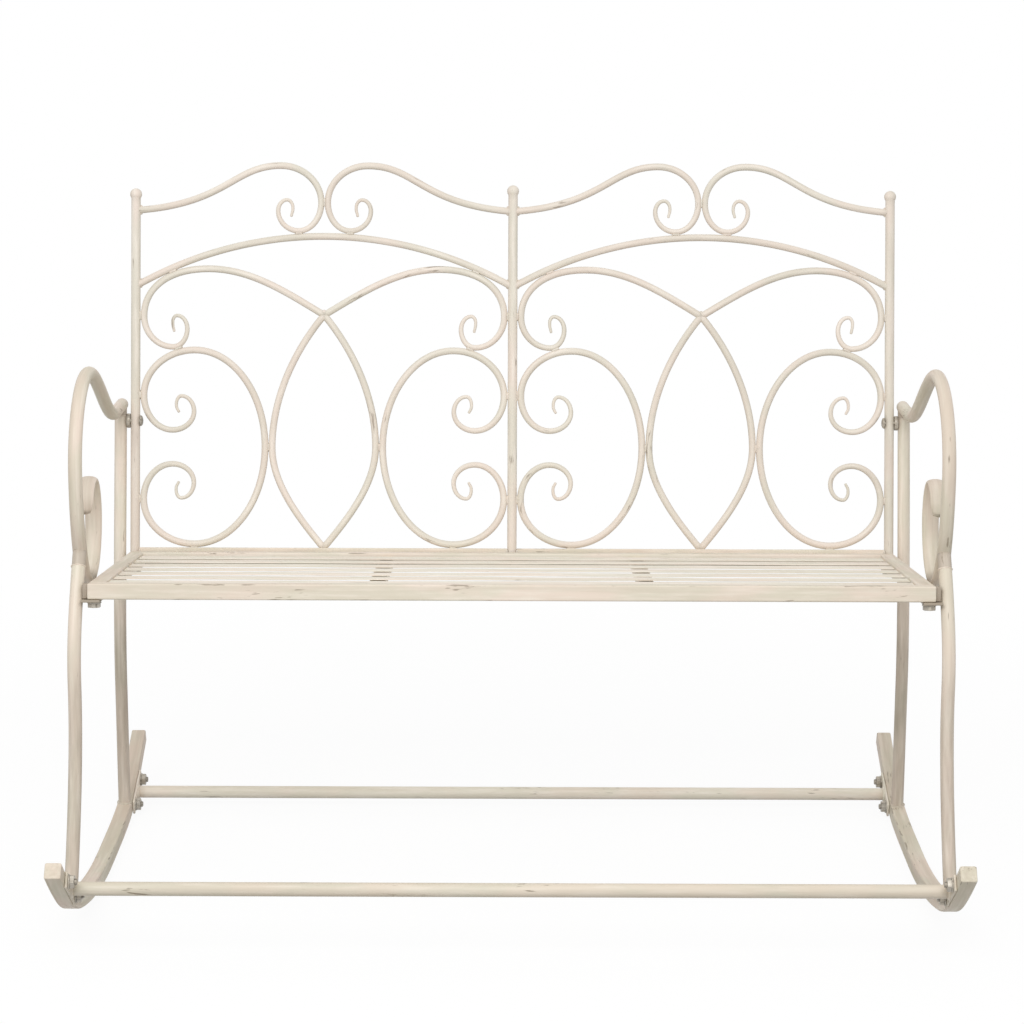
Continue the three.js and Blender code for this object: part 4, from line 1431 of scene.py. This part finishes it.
def makeToneDrift():
    # slow change from warm to greenish cream along a bar
    inputs = {"Place": "Vector", "Warm": "Color", "Cool": "Color", "Pale": "Color"}
    group, given, result = newGroup("toneDrift", inputs, {"Color": "Color"})
    drift = barNoise(group, given["Place"], *patternSet["drift"])
    blotch = barNoise(group, given["Place"], *patternSet["blotch"])
    slow = fade(group, drift, *patternSet["driftFade"])
    mixed = mixColour(group, slow, given["Warm"], given["Cool"])
    pale = fade(group, blotch, *patternSet["blotchFade"])
    depth = maths(group, "MULTIPLY", pale, patternSet["paleDepth"])
    group.links.new(mixColour(group, depth, mixed, given["Pale"]), result["Color"])
    return group


def makeBrushStrokes():
    # fine strokes that run along a bar, as a value and a height
    inputs = {"Place": "Vector", "Fineness": "Float"}
    group, given, result = newGroup("brushStrokes", inputs, {"Strokes": "Float", "Height": "Float"})
    place, fineness = given["Place"], given["Fineness"]
    rough = patternSet["fineRoughness"]
    fine = barNoise(group, place, fineness, *patternSet["fineStroke"], Roughness=rough)
    coarser = maths(group, "MULTIPLY", fineness, patternSet["wideShare"])
    wide = barNoise(group, place, coarser, *patternSet["wideStroke"])
    strokes = weighted(group, patternSet["strokeWeights"], fine, wide)
    group.links.new(fade(group, strokes, *patternSet["strokeFade"]), result["Strokes"])
    group.links.new(strokes, result["Height"])
    return group


def makeRubMarks():
    # drawn-out, slightly slanted marks where the paint is rubbed off, most of them on edges
    inputs = {"Place": "Vector", "Edge": "Float", "Amount": "Float"}
    group, given, result = newGroup("rubMarks", inputs, {"Mask": "Float"})
    inputs = {"Vector": given["Place"], "Rotation": patternSet["rubSlant"]}
    slanted = addNode(group, "ShaderNodeMapping", inputs).outputs["Vector"]
    streak = barNoise(group, slanted, *patternSet["streak"])
    patch = barNoise(group, given["Place"], *patternSet["patch"])
    parts = (patch, streak, given["Edge"], given["Amount"])
    marks = weighted(group, patternSet["rubWeights"], *parts)
    group.links.new(fade(group, marks, *patternSet["rubFade"]), result["Mask"])
    return group


def makeEdgeMask():
    # nearness to the corners of a tube's section
    group, given, result = newGroup("sectionEdge", {"Section": "Vector"}, {"Edge": "Float"})
    parts = addNode(group, "ShaderNodeSeparateXYZ", {0: given["Section"]}).outputs
    across, upwards = (maths(group, "ABSOLUTE", parts[axis]) for axis in (0, 1))
    nearer = maths(group, "MINIMUM", across, upwards)
    group.links.new(fade(group, nearer, *patternSet["cornerFade"]), result["Edge"])
    return group


def makeGrimeAndShadeMask():
    # blotchy reach of the grime round welds and bolts, and of the painted shade in joints, gaps and low
    # down
    inputs = {"Place": "Vector", "Level": "Float"}
    group, given, result = newGroup("grimeAndShadeMask", inputs, {"Mask": "Float"})
    blots = barNoise(group, given["Place"], *patternSet["blots"])
    shadeAndGrime = weighted(group, patternSet["grimeAndShadeWeights"], given["Level"], blots)
    group.links.new(fade(group, shadeAndGrime, *patternSet["grimeAndShadeFade"]), result["Mask"])
    return group


groups = {
    "grimeAndShade": makeGrimeAndShadeMask(),
    "tone": makeToneDrift(),
    "strokes": makeBrushStrokes(),
    "rubs": makeRubMarks(),
    "edge": makeEdgeMask(),
}


def useGroup(tree, key, inputs):
    return addNode(tree, "ShaderNodeGroup", inputs, node_tree=groups[key]).outputs


def readMark(tree, name, output):
    return addNode(tree, "ShaderNodeAttribute", attribute_name=name).outputs[output]


def startMaterial(name):
    material = bpy.data.materials.new(name)
    material.use_nodes = True
    return material, material.node_tree, material.node_tree.nodes["Principled BSDF"]


def rubMask(tree, place, finish):
    edge = useGroup(tree, "edge", {"Section": readMark(tree, "section", "Vector")})["Edge"]
    worn = maths(tree, "MULTIPLY", edge, finish["edgeWear"])
    scuffed = maths(tree, "POWER", readMark(tree, "rubbed", "Fac"), 2)
    amount = maths(tree, "MULTIPLY_ADD", scuffed, finish["scuffing"], finish["wear"])
    mask = useGroup(tree, "rubs", {"Place": place, "Edge": worn, "Amount": amount})["Mask"]
    return maths(tree, "MULTIPLY", mask, finish["rubDepth"])


def paintMaterial(name, finish):
    material, tree, shader = startMaterial(name)
    shades = {key: colour(*finish[key]) for key in ("warm", "cool", "pale", "stroke", "under", "grimeAndShade")}
    place = readMark(tree, "straight", "Vector")
    inputs = {"Warm": shades["warm"], "Cool": shades["cool"], "Pale": shades["pale"]}
    shaded = useGroup(tree, "tone", {"Place": place, **inputs})["Color"]
    strokes = useGroup(tree, "strokes", {"Place": place, "Fineness": finish["fineness"]})
    inputs = {"Place": place, "Level": readMark(tree, "grimeAndShade", "Fac")}
    grimeAndShade = useGroup(tree, "grimeAndShade", inputs)["Mask"]
    rubbed = rubMask(tree, place, finish)
    brushed = maths(tree, "MULTIPLY", strokes["Strokes"], finish["strokeDepth"])
    grimedAndShaded = maths(tree, "MULTIPLY", grimeAndShade, finish["grimeAndShadeDepth"])
    # the grime colour is laid both as real grime and as painted shade
    for amount, layer in ((brushed, "stroke"), (grimedAndShaded, "grimeAndShade"), (rubbed, "under")):
        shaded = mixColour(tree, amount, shaded, shades[layer])
    tree.links.new(shaded, shader.inputs["Base Color"])
    roughening = (finish["strokeRoughness"], finish["roughness"])
    rough = maths(tree, "MULTIPLY_ADD", strokes["Strokes"], *roughening)
    tree.links.new(rough, shader.inputs["Roughness"])
    hollow = maths(tree, "MULTIPLY", rubbed, finish["rubHollow"])
    height = maths(tree, "SUBTRACT", strokes["Height"], hollow)
    inputs = {"Strength": finish["bump"], "Distance": finish["bumpDistance"], "Height": height}
    bump = addNode(tree, "ShaderNodeBump", inputs)
    tree.links.new(bump.outputs["Normal"], shader.inputs["Normal"])
    shader.inputs["Specular IOR Level"].default_value = finish["specular"]
    shader.inputs["Metallic"].default_value = finish["metallic"]
    return material


cream = {  # shades as screen values
    "warm": (230, 215, 200),
    "cool": (220, 213, 195),
    "pale": (238, 228, 214),
    "stroke": (205, 193, 174),
    "under": (112, 95, 74),
    # grime colour, also the colour of painted shade
    "grimeAndShade": (126, 112, 94),
    "grimeAndShadeDepth": 0.68,
    "fineness": 150,
    "strokeDepth": 0.3,
    "strokeRoughness": 0.14,
    "edgeWear": 0,
    "wear": 0.2,
    "scuffing": 0.9,
    "rubDepth": 0.6,
    "rubHollow": 0.2,
    "roughness": 0.46,
    "bump": 0.3,
    "bumpDistance": 0.0002,
    "specular": 0.4,
    "metallic": 0,
}
tubeCream = {
    **cream,
    "fineness": 230,
    "strokeDepth": 0.5,
    "edgeWear": 0.9,
    "wear": 0.1,
    "bump": 0.45,
}
scuffedCream = {
    **cream,
    "warm": (220, 208, 191),
    "cool": (211, 205, 187),
    "pale": (229, 219, 204),
    "fineness": 210,
    "strokeDepth": 0.55,
    "wear": 0.32,
    "rubDepth": 0.75,
}
barCream = {  # the bars of the back look less yellow
    **cream,
    "warm": (228, 215, 203),
    "cool": (219, 213, 199),
    "pale": (238, 230, 219),
    "stroke": (204, 194, 179),
}
# paler cream of the slats; the rear stretcher wears it as painted light against the seat's shadow
slatCreamAndPaintedLight = {
    **cream,
    "warm": (240, 227, 212),
    "cool": (232, 226, 209),
    "pale": (246, 238, 226),
    "fineness": 230,
}
rockerShadedCream = {  # a greyer copy of the cream as painted shade, for the dimmer light low down
    **cream,
    "warm": (222, 205, 189),
    "cool": (211, 204, 184),
    "pale": (229, 219, 203),
    "stroke": (190, 178, 158),
    "fineness": 210,
    "strokeDepth": 0.5,
    "edgeWear": 0.9,
    "wear": 0.15,
    "bump": 0.4,
}
armCream = {
    **rockerShadedCream,
    "warm": (227, 211, 196),
    "cool": (216, 209, 190),
    "pale": (234, 224, 209),
    "stroke": (197, 185, 166),
    "edgeWear": 0,
    "wear": 0.2,
}
legTopPaintedShade = {  # above the seam: a darker copy of the arm's cream, painted shade of the arm's lower curl
    **armCream,
    "warm": (194, 181, 166),
    "cool": (192, 180, 165),
    "pale": (203, 193, 178),
    "stroke": (165, 154, 139),
}
dullZinc = {
    **cream,
    "warm": (206, 198, 184),
    "cool": (186, 181, 171),
    "pale": (222, 215, 203),
    "stroke": (150, 142, 128),
    "under": (96, 86, 72),
    "grimeAndShade": (104, 94, 80),
    "grimeAndShadeDepth": 0.5,
    "fineness": 900,
    "wear": 0.9,
    "roughness": 0.36,
    "metallic": 0.3,
}
finishes = {
    "creamOnBars": barCream,
    "creamOnSlatsAndPaintedLight": slatCreamAndPaintedLight,
    "creamOnTubes": tubeCream,
    "shadedCreamOnRockers": rockerShadedCream,
    "creamOnArms": armCream,
    "paintedShadeOnLegTops": legTopPaintedShade,
    "creamOnStretchers": scuffedCream,
    "dullZinc": dullZinc,
}
materials = {name: paintMaterial(name, finish) for name, finish in finishes.items()}
finishWords = {  # the first word that a piece's name holds gives its finish
    "Bolt": "dullZinc",
    "Rocker": "shadedCreamOnRockers",
    "Leg": "creamOnTubes",
    "Arm": "creamOnArms",
    # painted light: the rear stretcher, in the seat's shadow, gets the paler slat cream
    "rearStretcher": "creamOnSlatsAndPaintedLight",
    "Stretcher": "creamOnStretchers",
    "Slat": "creamOnSlatsAndPaintedLight",
    "seat": "creamOnTubes",
    "LowerRail": "creamOnTubes",
    "": "creamOnBars",
}
for name, piece in pieces.items():
    word = next(word for word in finishWords if word in name)
    piece.data.materials.append(materials[finishWords[word]])
    if word == "Leg":
        piece.data.materials.append(materials["paintedShadeOnLegTops"])
print("materials:", len(bpy.data.materials))

# Studio
studio = {
    "floorSize": 30,
    "floorShade": 0.5,
    "floorRoughness": 0.9,
    "floorSpecular": 0.1,
    "seenShade": 0.98,  # of the floor where the camera or a reflection sees it
    "glowNear": 0.92,
    "glowReach": (0.8, 1.8),  # distance at which the floor turns into plain white
    "worldStrength": 0.7,
    "keyPower": 86,
    "keyPlace": (-0.4, -3, 2.9),
    "keyTarget": (0, 0, 0.5),
    "keySize": (3.4, 1.6),
}
white = (1, 1, 1, 1)


def grey(shade):
    return (shade, shade, shade, 1)


def seenDirectly(tree):
    # rays that meet the background from the camera, or by way of metal or glass
    rays = addNode(tree, "ShaderNodeLightPath").outputs
    seen = maths(tree, "MAXIMUM", rays["Is Camera Ray"], rays["Is Glossy Ray"])
    return maths(tree, "MAXIMUM", seen, rays["Is Transmission Ray"])


def floorMaterial():
    material, tree, shader = startMaterial("floor")
    shader.inputs["Roughness"].default_value = studio["floorRoughness"]
    shader.inputs["Specular IOR Level"].default_value = studio["floorSpecular"]
    seen = seenDirectly(tree)
    shade = mixColour(tree, seen, grey(studio["floorShade"]), grey(studio["seenShade"]))
    tree.links.new(shade, shader.inputs["Base Color"])
    glow = addNode(tree, "ShaderNodeEmission", {"Color": white, "Strength": 1})
    place = addNode(tree, "ShaderNodeTexCoord").outputs["Object"]
    away = addNode(tree, "ShaderNodeVectorMath", {0: place}, operation="LENGTH").outputs["Value"]
    near = studio["glowNear"]
    faded = fade(tree, away, *studio["glowReach"])
    share = maths(tree, "MULTIPLY_ADD", faded, 1 - near, near)
    inputs = {0: maths(tree, "MULTIPLY", seen, share), 1: shader.outputs[0], 2: glow.outputs[0]}
    mixed = addNode(tree, "ShaderNodeMixShader", inputs)
    tree.links.new(mixed.outputs[0], tree.nodes["Material Output"].inputs["Surface"])
    return material


def makeFloor():
    bm = bmesh.new()
    bmesh.ops.create_grid(bm, x_segments=2, y_segments=2, size=studio["floorSize"])
    mesh = bpy.data.meshes.new("floor")
    bm.to_mesh(mesh)
    bm.free()
    mesh.materials.append(floorMaterial())
    floor = bpy.data.objects.new("floor", mesh)
    bpy.context.scene.collection.objects.link(floor)


def makeWorld():
    world = bpy.data.worlds.new("studio")
    world.use_nodes = True
    bpy.context.scene.world = world
    tree, plain = world.node_tree, studio["worldStrength"]
    strength = maths(tree, "MULTIPLY_ADD", seenDirectly(tree), 1 - plain, plain)
    background = tree.nodes["Background"].inputs
    tree.links.new(strength, background["Strength"])
    background["Color"].default_value = white


def addSoftLamp(name, place, target, size, power):
    lamp = bpy.data.lights.new(name, "AREA")
    lamp.shape = "RECTANGLE"
    lamp.size, lamp.size_y = size
    lamp.energy = power
    holder = bpy.data.objects.new(name, lamp)
    holder.location = place
    holder.rotation_euler = (Vector(target) - Vector(place)).to_track_quat("-Z", "Y").to_euler()
    bpy.context.scene.collection.objects.link(holder)


makeFloor()
makeWorld()
key = (studio["keyPlace"], studio["keyTarget"], studio["keySize"], studio["keyPower"])
addSoftLamp("keySoftbox", *key)

cameraSet = {
    "distance": 3.476,
    "height": 1.2697,
    "pitch": 12.614,
    "roll": 0.2,
    "lens": 97.28,
    "sensor": 36,
    "farEnd": 100,
}


def makeCamera():
    data = bpy.data.cameras.new("camera")
    data.lens = cameraSet["lens"]
    data.sensor_width = cameraSet["sensor"]
    data.clip_end = cameraSet["farEnd"]
    camera = bpy.data.objects.new("camera", data)
    camera.location = (0, -cameraSet["distance"], cameraSet["height"])
    pitched = Matrix.Rotation(math.radians(90 - cameraSet["pitch"]), 3, "X")
    rolled = pitched @ Matrix.Rotation(math.radians(cameraSet["roll"]), 3, "Z")
    camera.rotation_euler = rolled.to_euler()
    bpy.context.scene.collection.objects.link(camera)
    bpy.context.scene.camera = camera


makeCamera()
bpy.context.scene.view_settings.view_transform = "Standard"
print("studio: floor, world, lamp and camera")
